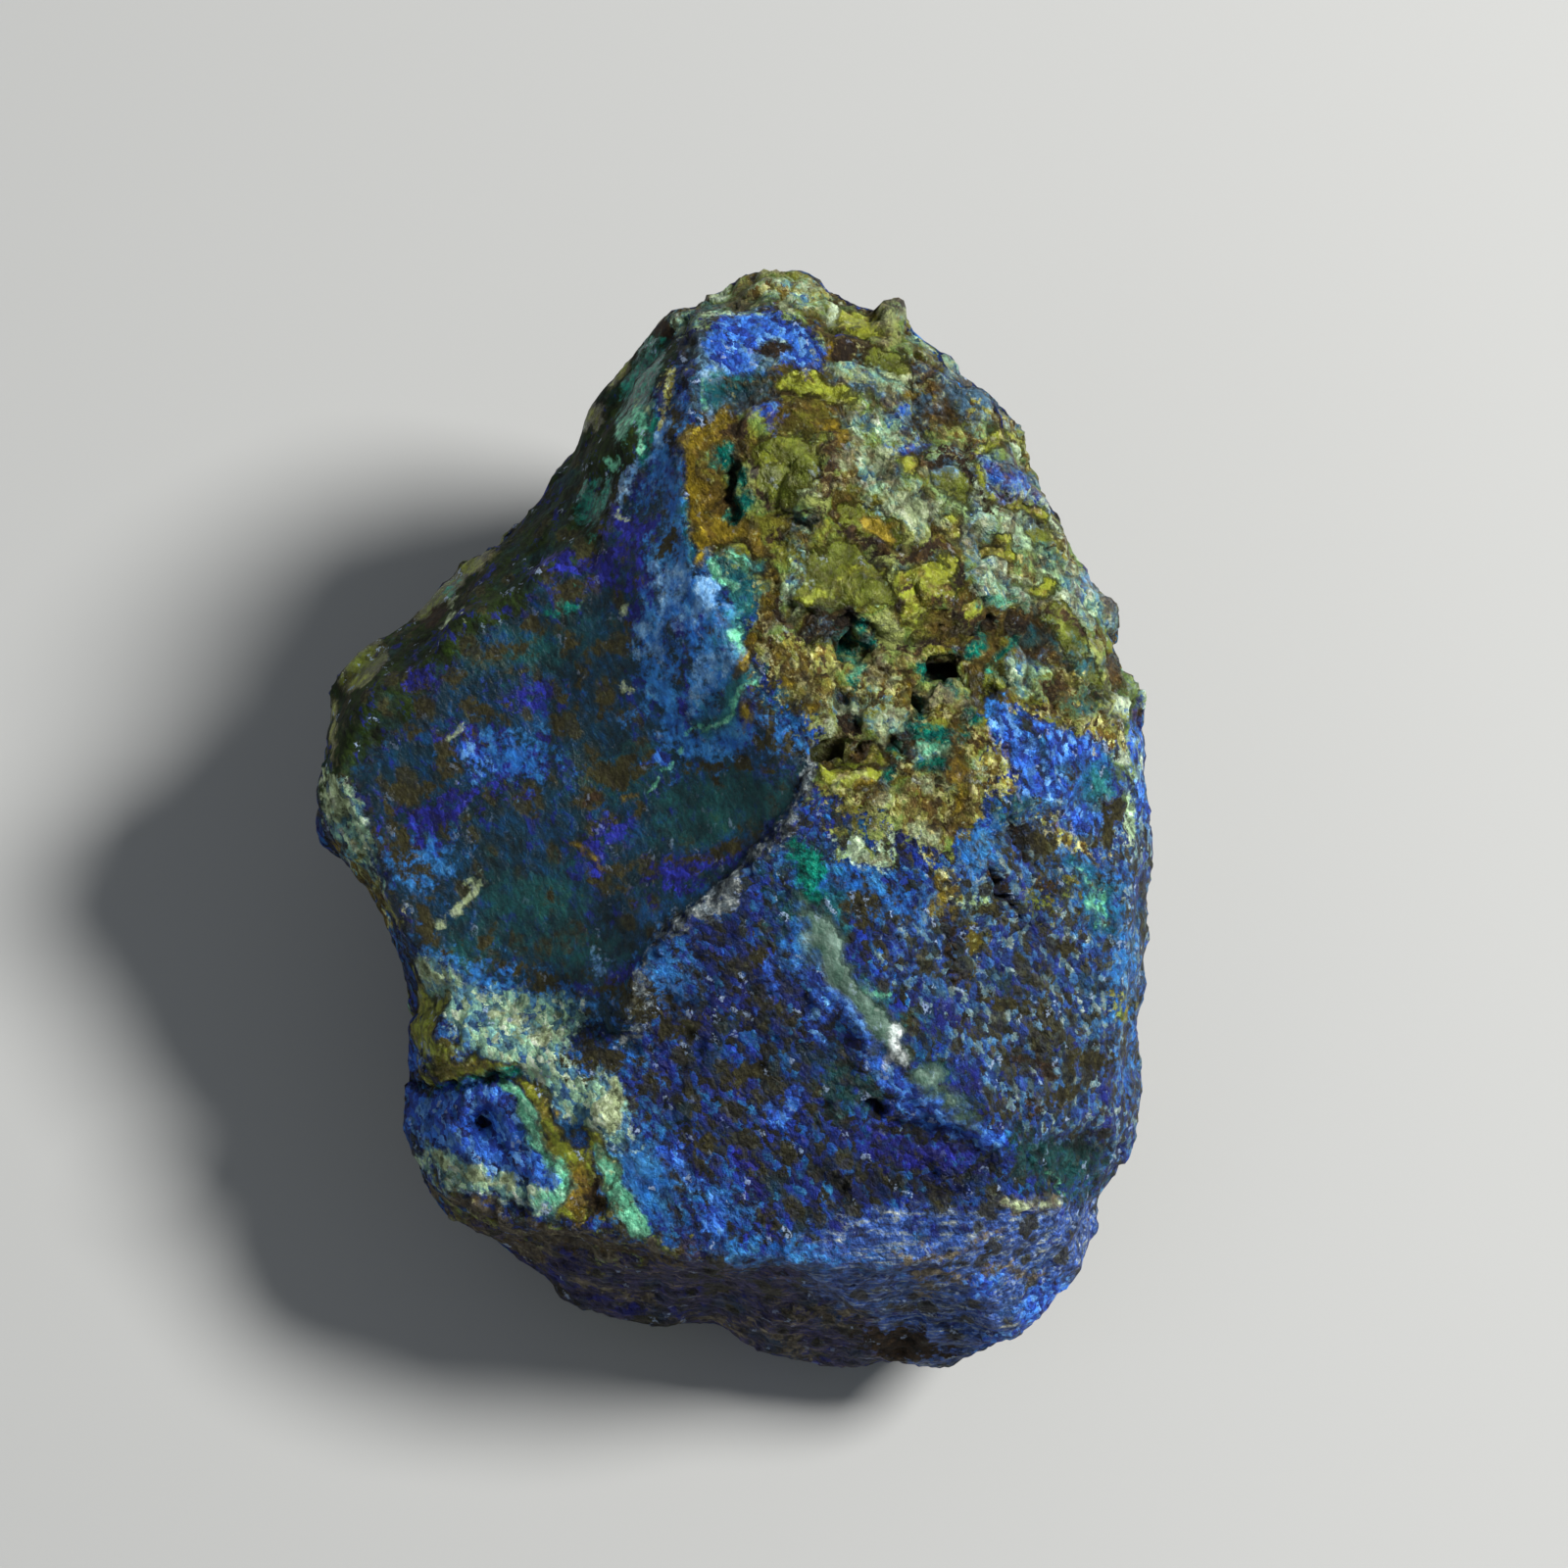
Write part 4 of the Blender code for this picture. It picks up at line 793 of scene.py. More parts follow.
def sharpen(shell):
    # smoothing rounds the breaks off, so all but the smooth face goes most of the way back to the solid
    points, facing = readShell(shell)
    inside = fieldOf(minerals["steelBlue"], drawnPlaces(points)[:, :2])
    calm = ease((inside - shape["calmFrom"]) / shape["calmOver"])
    share = shape["crisp"] * (1.0 - frontShare(facing) * calm)
    bm = solidInMillimetres()
    solid = BVHTree.FromBMesh(bm)
    bm.free()
    for vert, part in zip(shell.verts, share):
        vert.co = vert.co.lerp(solid.find_nearest(vert.co)[0], float(part))


def easeShell(shell, rounds):
    for _ in range(rounds):
        bmesh.ops.smooth_vert(
            shell, verts=shell.verts, factor=0.5, use_axis_x=True, use_axis_y=True, use_axis_z=True
        )


def readShell(shell):
    # the shell's points and the way each faces
    shell.normal_update()
    points = np.array([vert.co[:] for vert in shell.verts])
    facing = np.array([vert.normal[:] for vert in shell.verts])
    return points, facing


def frontShare(facing):
    lean = math.radians(shape["lean"])
    seen = facing @ np.array((0.0, -math.sin(lean), math.cos(lean)))
    return ease((seen - shape["frontFrom"]) / (shape["frontFull"] - shape["frontFrom"]))


def mineralFields(points, front):
    # every mineral's field at every point: drawn patches on the face, rolling ones elsewhere
    drawn = drawnPlaces(points)[:, :2]
    slow, quick = shape["wanderSizes"]
    strays = [roll(points, slow, a) + 0.5 * roll(points, quick, b) for a, b in ((5.0, 7.0), (9.0, 13.0))]
    spots = drawn + shape["wander"] * np.stack(strays, axis=1)
    fields = {}
    for name, mineral in minerals.items():
        onFace = fieldOf(mineral, spots)
        if mineral["elsewhere"]:
            size, share, seed = mineral["elsewhere"]
            rolling = crags(points, size, seed, 3)
            level = np.quantile(rolling, 1.0 - share)
            beyond = (rolling - level) * size * shape["deepening"]
        else:
            beyond = np.full(len(points), shape["absent"])
        field = front * onFace + (1.0 - front) * beyond
        fields[name] = np.clip(field, -shape["deepest"], shape["deepest"])
    return fields


def reached(depth, over, start=0.5):
    # 0 to 1 over a width in mm across a mineral's edge
    return ease(depth / over + start)


def surfaceShares(fields, olive):
    # how rough, smooth and glassy each point is
    smooth = reached(fields["steelBlue"], 1.2, 0.3) * (1.0 - olive)
    glassy = np.maximum.reduce([fields[name] for name in ("moss", "lime", "amber", "vein", "bottle")])
    glassy = reached(glassy, 0.5, 0.4)
    rough = (1.0 - relief["smoothShare"] * smooth) * (1.0 - relief["glassyShare"] * glassy)
    return rough, smooth, glassy


def drawnRelief(spots, front):
    # the pits, cracks, knobs and ribs drawn on the face, and how deep in a pit or crack a spot is, which the
    # finish paints as shade
    height, hollowShade = np.zeros(len(spots)), np.zeros(len(spots))
    for *spot, depth in relief["pits"]:
        sink = ease(inSpot(spots, *spot) / min(spot[2:4]) + 0.15) * front
        height -= depth * sink
        hollowShade = np.maximum(hollowShade, sink * min(depth, 1.0))
    for line, halfWidth, depth in relief["cracks"]:
        sink = ease(1.0 - fromLine(spots, line) / halfWidth) * front
        height -= depth * sink
        hollowShade = np.maximum(hollowShade, sink * min(depth * 1.4, 0.9))
    for *spot, tallness in relief["knobs"]:
        height += tallness * ease(inSpot(spots, *spot) / min(spot[2:4]) * 1.5) * front
    for line, halfWidth, tallness in relief["ribs"]:
        height += tallness * ease(1.0 - fromLine(spots, line) / halfWidth) * front
    return height, hollowShade


def waves(points, name, octaves=4):
    height, size, seed = relief[name]
    return height * crags(points, size, seed, octaves)


def carve(points, front, fields):
    # the fine relief along each point's own facing, in mm, and the marks that the finish reads, among them
    # the painted shade of pits, cracks and block seams
    stray = np.stack([roll(points, relief["straySize"], seed) for seed in (15.0, 19.0)], axis=1)
    spots = drawnPlaces(points)[:, :2] + relief["stray"] * stray
    olive = reached(fields["olive"], 0.8)
    layered = reached(fields["layered"], 0.8)
    rough, smooth, glassy = surfaceShares(fields, olive)
    height, hollowShade = drawnRelief(spots, front)
    blockHeight, blockEdge = blocks(points, relief["blockSize"], relief["blockLean"])
    height += olive * relief["blockStep"] * blockHeight * (1.0 - relief["glassyBlocks"] * glassy)
    height -= olive * relief["seamDepth"] * ease(1.0 - blockEdge / relief["seamWidth"])
    chips = blocks(points, relief["chipSize"], relief["chipLean"])[0]
    height += rough * relief["chipHeight"] * chips * (0.35 + 0.65 * olive)
    height += rough * waves(points, "lumps") + waves(points, "swell") + rough * waves(points, "grain", 2)
    height += layered * waves(points * np.array(relief["strataSquash"]), "strata")
    away = np.linalg.norm(spots - np.array(relief["rippleMiddle"]), axis=1)
    height += relief["rippleHeight"] * smooth * front * np.sin(away * relief["ripplePitch"])
    # painted shade along the seams between the green blocks, joined to the painted shade of the pits and
    # cracks
    seams = olive * ease(1.0 - blockEdge / relief["darkSeamWidth"]) * relief["darkSeam"]
    hollowShade = np.clip(np.maximum(hollowShade, seams), 0.0, 1.0)
    return height, {"hollowShade": hollowShade, "proud": height, "blockTone": np.clip(0.5 + blockHeight, 0.0, 1.0)}


def makeStone():
    shell = shellOfStone()
    points, facing = readShell(shell)
    print("shell of", sum(len(face.verts) - 2 for face in shell.faces), "triangles")
    front = frontShare(facing)
    fields = mineralFields(points, front)
    print("minerals laid out")
    height, marks = carve(points, front, fields)
    aboveFoot = ease(points[:, 2] / shape["footClear"] - 0.2)
    moved = points + facing * (height * aboveFoot)[:, None]
    low, high = np.array(cadBox[0]) * 1000.0, np.array(cadBox[1]) * 1000.0
    moved = np.clip(moved, low, high) * 0.001      # never past the solid's own box
    for vert, place in zip(shell.verts, moved):
        vert.co = place
    mesh = bpy.data.meshes.new("dressedStone")
    shell.to_mesh(mesh)
    shell.free()
    for name, values in {**fields, **marks}.items():
        mesh.attributes.new(name, "FLOAT", "POINT").data.foreach_set("value", values.astype(np.float32))
    mesh.shade_smooth()
    stone = bpy.data.objects.new("dressedStone", mesh)
    bpy.context.scene.collection.objects.link(stone)
    stone.data.materials.append(makeStoneFinish())
    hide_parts(shape["node"])
    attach(stone, "root")
    print("stone made")


# What a mineral looks like: its tones from dark to light as red, green, blue of a screen, and its roughness.
finish = {
    "azurite": ([
        (22, 24, 22), (44, 44, 34), (18, 30, 60), (22, 38, 104), (28, 52, 156), (27, 90, 154),
        (56, 134, 180),
    ], 0.54),
    "steelBlue": ([(16, 22, 18), (15, 34, 38), (15, 47, 66), (18, 72, 122), (38, 112, 166)], 0.30),
    "sky": ([(22, 66, 124), (30, 98, 182), (58, 138, 206), (120, 184, 202)], 0.40),
    "violet": ([(14, 16, 64), (26, 30, 118), (44, 54, 178)], 0.46),
    "bottle": ([(6, 12, 2), (16, 26, 4), (30, 48, 8), (46, 62, 14), (8, 56, 42)], 0.88),
    "olive": ([
        (56, 46, 18), (88, 76, 26), (106, 104, 32), (128, 132, 42), (112, 142, 68), (156, 168, 92),
    ], 0.42),
    "moss": ([(46, 48, 14), (72, 78, 24), (96, 108, 34), (122, 142, 56)], 0.26),
    "sage": ([(86, 110, 66), (124, 152, 80), (152, 184, 116), (168, 202, 160), (214, 236, 200)], 0.42),
    "blueDust": ([(50, 72, 74), (66, 98, 128), (90, 132, 158), (144, 170, 160)], 0.50),
    "rust": ([(24, 24, 14), (44, 41, 20), (58, 56, 28), (62, 72, 50)], 0.62),
    "lime": ([(88, 88, 20), (118, 124, 32), (142, 156, 50), (178, 192, 92)], 0.32),
    "ochre": ([
        (58, 46, 22), (100, 78, 26), (126, 114, 42), (144, 146, 64), (168, 174, 94), (202, 204, 136),
        (226, 228, 184),
    ], 0.66),
    "amber": ([(64, 50, 10), (102, 86, 16), (136, 118, 28), (166, 148, 48), (204, 190, 100)], 0.40),
    "turquoise": ([(14, 54, 68), (22, 84, 98), (42, 120, 122), (112, 176, 160)], 0.34),
    "ice": ([(60, 110, 176), (104, 156, 204), (178, 212, 228)], 0.40),
    "strand": ([(66, 58, 54), (108, 100, 82), (152, 144, 118)], 0.60),
    "brown": ([(18, 14, 9), (46, 33, 19), (76, 58, 36)], 0.78),
    "teal": ([(4, 42, 48), (4, 88, 84), (14, 136, 112), (84, 184, 152)], 0.26),
    "cobalt": ([(28, 38, 96), (36, 78, 190), (60, 128, 230), (124, 184, 238)], 0.62),
    "cream": ([(112, 130, 82), (172, 190, 144), (222, 232, 206)], 0.72),
    "mint": ([(60, 146, 116), (112, 202, 162), (180, 230, 196)], 0.42),
    "vein": ([(36, 52, 40), (52, 80, 68), (76, 102, 90), (104, 130, 120), (140, 160, 150)], 0.24),
    # painted highlight on the vein, with a low roughness as well
    "paintedVeinHighlight": ([(150, 166, 166), (206, 216, 216), (240, 244, 244)], 0.12),
    "crushed": ([(54, 66, 82), (116, 130, 134), (206, 212, 208)], 0.70),
    "paleCrust": ([
        (46, 80, 138), (82, 138, 168), (124, 176, 166), (164, 210, 170), (204, 234, 194), (240, 250, 230),
    ], 0.62),
    "greenHaze": ([(16, 40, 42), (20, 62, 66), (26, 82, 80), (52, 88, 56)], 0.34),
    # grey-brown and blue grains; the pale grey tones are painted sheen and painted glints
    "dustyAndSheen": ([
        (34, 36, 34), (68, 68, 50), (36, 48, 84), (42, 68, 144), (62, 112, 160), (104, 130, 132),
        (164, 180, 176),
    ], 0.48),
    "layered": ([(30, 26, 44), (48, 42, 66), (54, 54, 100), (92, 82, 84), (146, 132, 100)], 0.56),
    # bluer layers, painted lighter for the light on this side, with whitish painted glints
    "bluerLayersAndLight": ([(44, 44, 52), (46, 66, 124), (56, 96, 178), (126, 144, 160), (206, 210, 200)], 0.46),
}


# Each further mineral from the bottom up: the texture that gives its tones, the one that breaks its edge, how
# far in mm it does, and how soft the edge is.
layers = [
    ("layered", "bedding", "red", 4.5, 0.25),
    ("bluerLayersAndLight", "bedding", "green", 4.0, 0.25),
    ("bottle", "broad", "green", 4.0, 0.22),
    ("steelBlue", "broad", "blue", 4.5, 0.30),
    ("dustyAndSheen", "flecks", "green", 9.0, 0.30),
    ("violet", "flecks", "red", 6.0, 0.20),
    ("greenHaze", "broad", "red", 7.0, 0.70),
    ("sky", "broad", "green", 8.0, 0.60),
    ("olive", "blocky", "blue", 4.5, 0.16),
    ("sage", "blocky", "green", 4.0, 0.20),
    ("moss", "broad", "blue", 1.6, 0.12),
    ("blueDust", "flecks", "red", 3.0, 0.30),
    ("turquoise", "broad", "green", 4.0, 0.45),
    ("paleCrust", "flecks", "red", 2.8, 0.25),
    ("ochre", "flecks", "green", 4.0, 0.16),
    ("lime", "broad", "red", 1.2, 0.12),
    ("amber", "broad", "green", 1.4, 0.14),
    ("ice", "fine", "blue", 3.0, 0.30),
    ("rust", "fine", "red", 3.0, 0.14),
    ("brown", "fine", "blue", 2.2, 0.10),
    ("teal", "fine", "red", 2.0, 0.16),
    ("cobalt", "flecks", "green", 2.6, 0.18),
    ("strand", "fine", "red", 3.2, 0.16),
    ("cream", "fine", "blue", 1.4, 0.12),
    ("mint", "fine", "green", 1.2, 0.12),
    ("vein", "broad", "red", 1.4, 0.30),
    ("paintedVeinHighlight", "fine", "red", 1.2, 0.16),
    ("crushed", "grit", "blue", 2.6, 0.12),
]

# Noises that the finish is mixed from: features to the mm, detail, roughness and twist.
noises = {
    "clouds": (0.34, 4.0, 0.60, 0.0),
    "patches": (0.62, 5.0, 0.62, 0.4),
    "mottle": (1.5, 5.0, 0.66, 0.3),
    "grit": (3.6, 4.0, 0.60, 0.0),
    "ragged": (1.7, 6.0, 0.70, 0.0),
    "bedding": (1.5, 5.0, 0.65, 0.0),
}
cellsPerMillimetre = {"grains": 2.6, "specks": 0.85, "facets": 0.80}

# Tones laid over the minerals, one or a ramp of them: the texture's values between which each sets in, and
# how strong it gets.
tints = {
    "tealHaze": ((18, 62, 78), 0.50, 0.62, 0.55),
    "violetSpecks": ((26, 34, 124), 1.00, 1.06, 0.80),
    "rustHalos": ((50, 58, 44), -0.22, -0.06, 0.40),
    "rustSpecks": (finish["rust"][0], 0.10, 0.15, 0.80),
    "grime": ((16, 16, 18), 0.55, 0.62, 0.55),
    "brownStain": ([(46, 34, 16), (84, 62, 26), (128, 104, 50)], 0.48, 0.56, 0.75),
    "paleDust": ((176, 178, 120), 0.57, 0.63, 0.65),
    "pores": ((52, 34, 16), 0.53, 0.58, 0.75),
    "poreRims": ((196, 192, 128), 0.55, 0.60, 0.80),
    "seams": ((44, 34, 16), 0.18, 0.03, 0.55),
    # painted shade where the relief sinks below the surface round it
    "paintedLowShade": ((14, 12, 8), -0.05, -0.35, 0.55),
    "wornSpots": ((176, 184, 176), 0.34, 0.52, 0.16),
    # painted highlights on single grains
    "paintedGlints": ((172, 196, 232), 0.0, 1.0, 1.0),
    # painted shade in the pits, cracks and block seams of the relief
    "paintedHollowShade": ((12, 10, 7), 0.0, 1.0, 0.85),
}

# The finish's own relief, finer than the mesh: its depth in metres, and how much each texture adds to it.
fineRelief = {
    "depth": 0.00034,
    "grit": 0.8,
    "mottle": 1.5,
    "crystals": 0.9,
    "grainLean": 2.4,
    "blueFacets": 0.5,
    "oliveFacets": 2.6,
}


def screen(red, green, blue):
    # a screen colour as the linear values that a shader takes
    linear = [((c / 255.0 + 0.055) / 1.055) ** 2.4 if c > 10 else c / 3294.6 for c in (red, green, blue)]
    return (*linear, 1.0)


def addNode(tree, kind, **values):
    node = tree.nodes.new(kind)
    for name, value in values.items():
        setattr(node, name, value)
    return node


def link(tree, output, socket):
    if isinstance(output, (int, float, tuple)):
        socket.default_value = output
    else:
        tree.links.new(output, socket)


def addMapping(tree, place, scale, turn=0.0, kind="POINT"):
    node = addNode(tree, "ShaderNodeMapping", vector_type=kind)
    node.inputs["Rotation"].default_value = (0.0, 0.0, math.radians(turn))
    node.inputs["Scale"].default_value = scale
    link(tree, place, node.inputs["Vector"])
    return node.outputs["Vector"]


def addNoise(tree, place, name):
    node = addNode(tree, "ShaderNodeTexNoise")
    link(tree, place, node.inputs["Vector"])
    for value, socket in zip(noises[name], ("Scale", "Detail", "Roughness", "Distortion")):
        node.inputs[socket].default_value = value
    return node.outputs["Fac"], node.outputs["Color"]


def addCells(tree, place, name):
    node = addNode(tree, "ShaderNodeTexVoronoi")
    link(tree, place, node.inputs["Vector"])
    node.inputs["Scale"].default_value = cellsPerMillimetre[name]
    return node


def addShake(tree, place, colour, reach):
    # places shaken by a noise, so that what is laid on them has broken edges
    node = addNode(tree, "ShaderNodeVectorMath", operation="MULTIPLY_ADD")
    link(tree, colour, node.inputs[0])
    node.inputs[1].default_value = (reach, reach, reach)
    link(tree, place, node.inputs[2])
    return node.outputs["Vector"]


def addSlope(tree, place, cells):
    # flat faces: every cell leans its own way
    lean = addNode(tree, "ShaderNodeVectorMath", operation="SUBTRACT")
    link(tree, cells.outputs["Color"], lean.inputs[0])
    lean.inputs[1].default_value = (0.5, 0.5, 0.5)
    away = addNode(tree, "ShaderNodeVectorMath", operation="SUBTRACT")
    link(tree, place, away.inputs[0])
    link(tree, cells.outputs["Position"], away.inputs[1])
    slope = addNode(tree, "ShaderNodeVectorMath", operation="DOT_PRODUCT")
    link(tree, lean.outputs["Vector"], slope.inputs[0])
    link(tree, away.outputs["Vector"], slope.inputs[1])
    return slope.outputs["Value"]


def addMath(tree, kind, a, b=0.0, c=0.0):
    node = addNode(tree, "ShaderNodeMath", operation=kind)
    for value, socket in zip((a, b, c), node.inputs):
        link(tree, value, socket)
    return node.outputs[0]


def addRange(tree, value, low, high, toLow=0.0, toHigh=1.0):
    node = addNode(tree, "ShaderNodeMapRange")
    link(tree, value, node.inputs["Value"])
    node.inputs["From Min"].default_value = low
    node.inputs["From Max"].default_value = high
    node.inputs["To Min"].default_value = toLow
    node.inputs["To Max"].default_value = toHigh
    return node.outputs[0]


def addBlend(tree, share, under, over):
    node = addNode(tree, "ShaderNodeMix", data_type="RGBA")
    for value, socket in zip((share, under, over), (node.inputs[0], node.inputs[6], node.inputs[7])):
        link(tree, value, socket)
    return node.outputs[2]


def addShift(tree, share, under, over):
    node = addNode(tree, "ShaderNodeMix", data_type="FLOAT")
    for value, socket in zip((share, under, over), (node.inputs[0], node.inputs[2], node.inputs[3])):
        link(tree, value, socket)
    return node.outputs[0]


def addTones(tree, value, tones):
    # a ramp from a mineral's darkest tone to its lightest, over the middle of a noise's range
    node = addNode(tree, "ShaderNodeValToRGB")
    ramp = node.color_ramp
    stops = [0.30 + 0.42 * i / (len(tones) - 1) for i in range(len(tones))]
    ramp.elements[0].position, ramp.elements[1].position = stops[0], stops[-1]
    ramp.elements[0].color, ramp.elements[1].color = screen(*tones[0]), screen(*tones[-1])
    for stop, tone in zip(stops[1:-1], tones[1:-1]):
        ramp.elements.new(stop).color = screen(*tone)
    link(tree, value, node.inputs["Fac"])
    return node.outputs["Color"]


def addChannels(tree, colour):
    node = addNode(tree, "ShaderNodeSeparateColor")
    link(tree, colour, node.inputs["Color"])
    return node.outputs[0], node.outputs[1], node.outputs[2]


def addMark(tree, name):
    # a value that the mesh carries at its points
    return addNode(tree, "ShaderNodeAttribute", attribute_name=name).outputs["Fac"]


def addTint(tree, texture, colour, name, value, within=1.0):
    # a tone over the colour so far where a texture is high, and only within a mask where one is given
    tone, low, high, strength = tints[name]
    share = addMath(tree, "MULTIPLY", addRange(tree, value, low, high, 0.0, strength), within)
    over = screen(*tone) if isinstance(tone, tuple) else addTones(tree, texture["grit"], tone)
    return addBlend(tree, share, colour, over)


def addTextures(tree):
    # places in mm, the noises and cells on them, and the mixes of these that the minerals draw on
    coordinates = addNode(tree, "ShaderNodeTexCoord")
    place = addMapping(tree, coordinates.outputs["Object"], (1000.0, 1000.0, 1000.0))
    flattened = addMapping(tree, place, (0.45, 2.0, 3.2))
    combed = addMapping(tree, place, (1.40, 0.82, 0.95), -58.0, "TEXTURE")      # drawn out down to the right
    texture = {"bedding": addNoise(tree, flattened, "bedding")[0]}
    clouds = addNoise(tree, place, "clouds")[1]
    patches, patchColour = addNoise(tree, place, "patches")
    texture["mottle"], mottleColour = addNoise(tree, combed, "mottle")
    texture["grit"] = addNoise(tree, place, "grit")[0]
    ragged = addNoise(tree, place, "ragged")[1]
    shaken = addShake(tree, combed, ragged, 0.9)
    jolted = addShake(tree, place, patchColour, 1.6)
    grains, specks = addCells(tree, shaken, "grains"), addCells(tree, shaken, "specks")
    texture["grainDistance"] = grains.outputs["Distance"]
    texture["speckDistance"] = specks.outputs["Distance"]
    texture["grainLean"] = addSlope(tree, shaken, grains)
    texture["facetLean"] = addSlope(tree, jolted, addCells(tree, jolted, "facets"))
    channels = {
        ("red", "green", "blue"): ragged,
        ("rustCloud", "violetCloud", "tealCloud"): clouds,
        ("tintA", "tintB", "tintC"): patchColour,
        ("spotA", "spotB", "spotC"): mottleColour,
        ("ownTone", "ownShine", "ownGlint"): grains.outputs["Color"],
    }
    for names, colour in channels.items():
        texture.update(zip(names, addChannels(tree, colour)))
    texture["speckSize"] = addChannels(tree, specks.outputs["Color"])[0]
    fine = addShift(tree, 0.45, texture["mottle"], texture["grit"])
    texture["fine"] = fine
    texture["broad"] = addShift(tree, 0.5, patches, texture["mottle"])
    texture["flecks"] = addShift(tree, 0.34, addShift(tree, 0.34, fine, texture["tintA"]), texture["ownTone"])
    blocky = addShift(tree, 0.3, fine, texture["tintC"])
    texture["blocky"] = addShift(tree, 0.55, blocky, addMark(tree, "blockTone"))
    return texture


def addBlueRockSpecks(tree, texture, colour):
    # under the coloured patches: teal haze, violet and rust specks in loose clusters, and grime
    haze = addShift(tree, 0.35, texture["tealCloud"], texture["tintB"])
    colour = addTint(tree, texture, colour, "tealHaze", haze)
    violet = addMath(tree, "MULTIPLY_ADD", texture["violetCloud"], 0.8, texture["spotA"])
    colour = addTint(tree, texture, colour, "violetSpecks", violet)
    size = addRange(tree, texture["speckSize"], 0.0, 1.0, -0.55, 0.05)
    size = addMath(tree, "MULTIPLY_ADD", texture["rustCloud"], 0.9, size)
    rust = addMath(tree, "SUBTRACT", size, texture["speckDistance"])
    colour = addTint(tree, texture, colour, "rustHalos", rust)
    broken = addMath(tree, "MULTIPLY_ADD", texture["grit"], 0.3, rust)
    colour = addTint(tree, texture, colour, "rustSpecks", broken)
    grime = addShift(tree, 0.4, texture["spotC"], texture["grit"])
    return addTint(tree, texture, colour, "grime", grime)


def addMalachiteDetail(tree, texture, colour, masks, depths):
    # brown stain and pale dust between the blocks, pores in the ochre, and seams round the smooth blocks
    malachite = addMath(tree, "MAXIMUM", masks["olive"], masks["lime"])
    malachite = addMath(tree, "MULTIPLY", malachite, addRange(tree, masks["moss"], 0.0, 1.0, 1.0, 0.25))
    stain = addShift(tree, 0.35, texture["tintA"], texture["green"])
    colour = addTint(tree, texture, colour, "brownStain", stain, malachite)
    dust = addShift(tree, 0.5, texture["red"], texture["grit"])
    colour = addTint(tree, texture, colour, "paleDust", dust, malachite)
    pores = addShift(tree, 0.5, texture["spotA"], texture["blue"])
    colour = addTint(tree, texture, colour, "pores", pores, masks["ochre"])
    rims = addShift(tree, 0.4, texture["spotC"], texture["grit"])
    colour = addTint(tree, texture, colour, "poreRims", rims, masks["ochre"])
    for name in ("moss", "lime", "amber"):
        colour = addTint(tree, texture, colour, "seams", addMath(tree, "ABSOLUTE", depths[name]))
    return colour


def addGrainShade(tree, texture, colour, calm):
    # light and dark grains within every mineral, evener on the calm ones
    shade = addShift(tree, 0.45, texture["grit"], texture["spotB"])
    shade = addShift(tree, 0.30, shade, texture["ownShine"])
    lively = addRange(tree, shade, 0.30, 0.70, 0.30, 1.85)
    even = addRange(tree, shade, 0.30, 0.70, 0.74, 1.40)
    node = addNode(tree, "ShaderNodeVectorMath", operation="SCALE")
    link(tree, colour, node.inputs[0])
    link(tree, addShift(tree, calm, lively, even), node.inputs["Scale"])
    return node.outputs["Vector"]


def addGlints(tree, texture, calm):
    # single grains that get a painted highlight, fewer on the calm minerals
    few = addRange(tree, texture["ownGlint"], 0.955, 0.975)
    glint = addMath(tree, "MULTIPLY", few, addRange(tree, texture["grit"], 0.50, 0.56))
    return addMath(tree, "MULTIPLY", glint, addRange(tree, calm, 0.0, 1.0, 0.75, 0.20))


def addFineRelief(tree, texture, masks):
    # grains and leaning facets, flatter where the rock is glassy
    rough = addShift(tree, masks["steelBlue"], 1.0, 0.22)
    rough = addShift(tree, addMath(tree, "MAXIMUM", masks["moss"], masks["lime"]), rough, 0.25)
    rough = addShift(tree, addMath(tree, "MAXIMUM", masks["vein"], masks["bottle"]), rough, 0.18)
    height = addMath(tree, "SUBTRACT", 0.6, texture["grainDistance"])
    height = addMath(tree, "MULTIPLY", height, fineRelief["crystals"])
    for name in ("grit", "mottle", "grainLean"):
        height = addMath(tree, "MULTIPLY_ADD", texture[name], fineRelief[name], height)
    height = addMath(tree, "MULTIPLY", height, rough)
    facets = addShift(tree, masks["olive"], fineRelief["blueFacets"], fineRelief["oliveFacets"])
    facets = addMath(tree, "MULTIPLY", facets, addRange(tree, masks["steelBlue"], 0.0, 1.0, 1.0, 0.15))
    height = addMath(tree, "MULTIPLY_ADD", texture["facetLean"], facets, height)
    bump = addNode(tree, "ShaderNodeBump")
    bump.inputs["Strength"].default_value = 1.0
    bump.inputs["Distance"].default_value = fineRelief["depth"]
    link(tree, height, bump.inputs["Height"])
    return bump.outputs["Normal"]


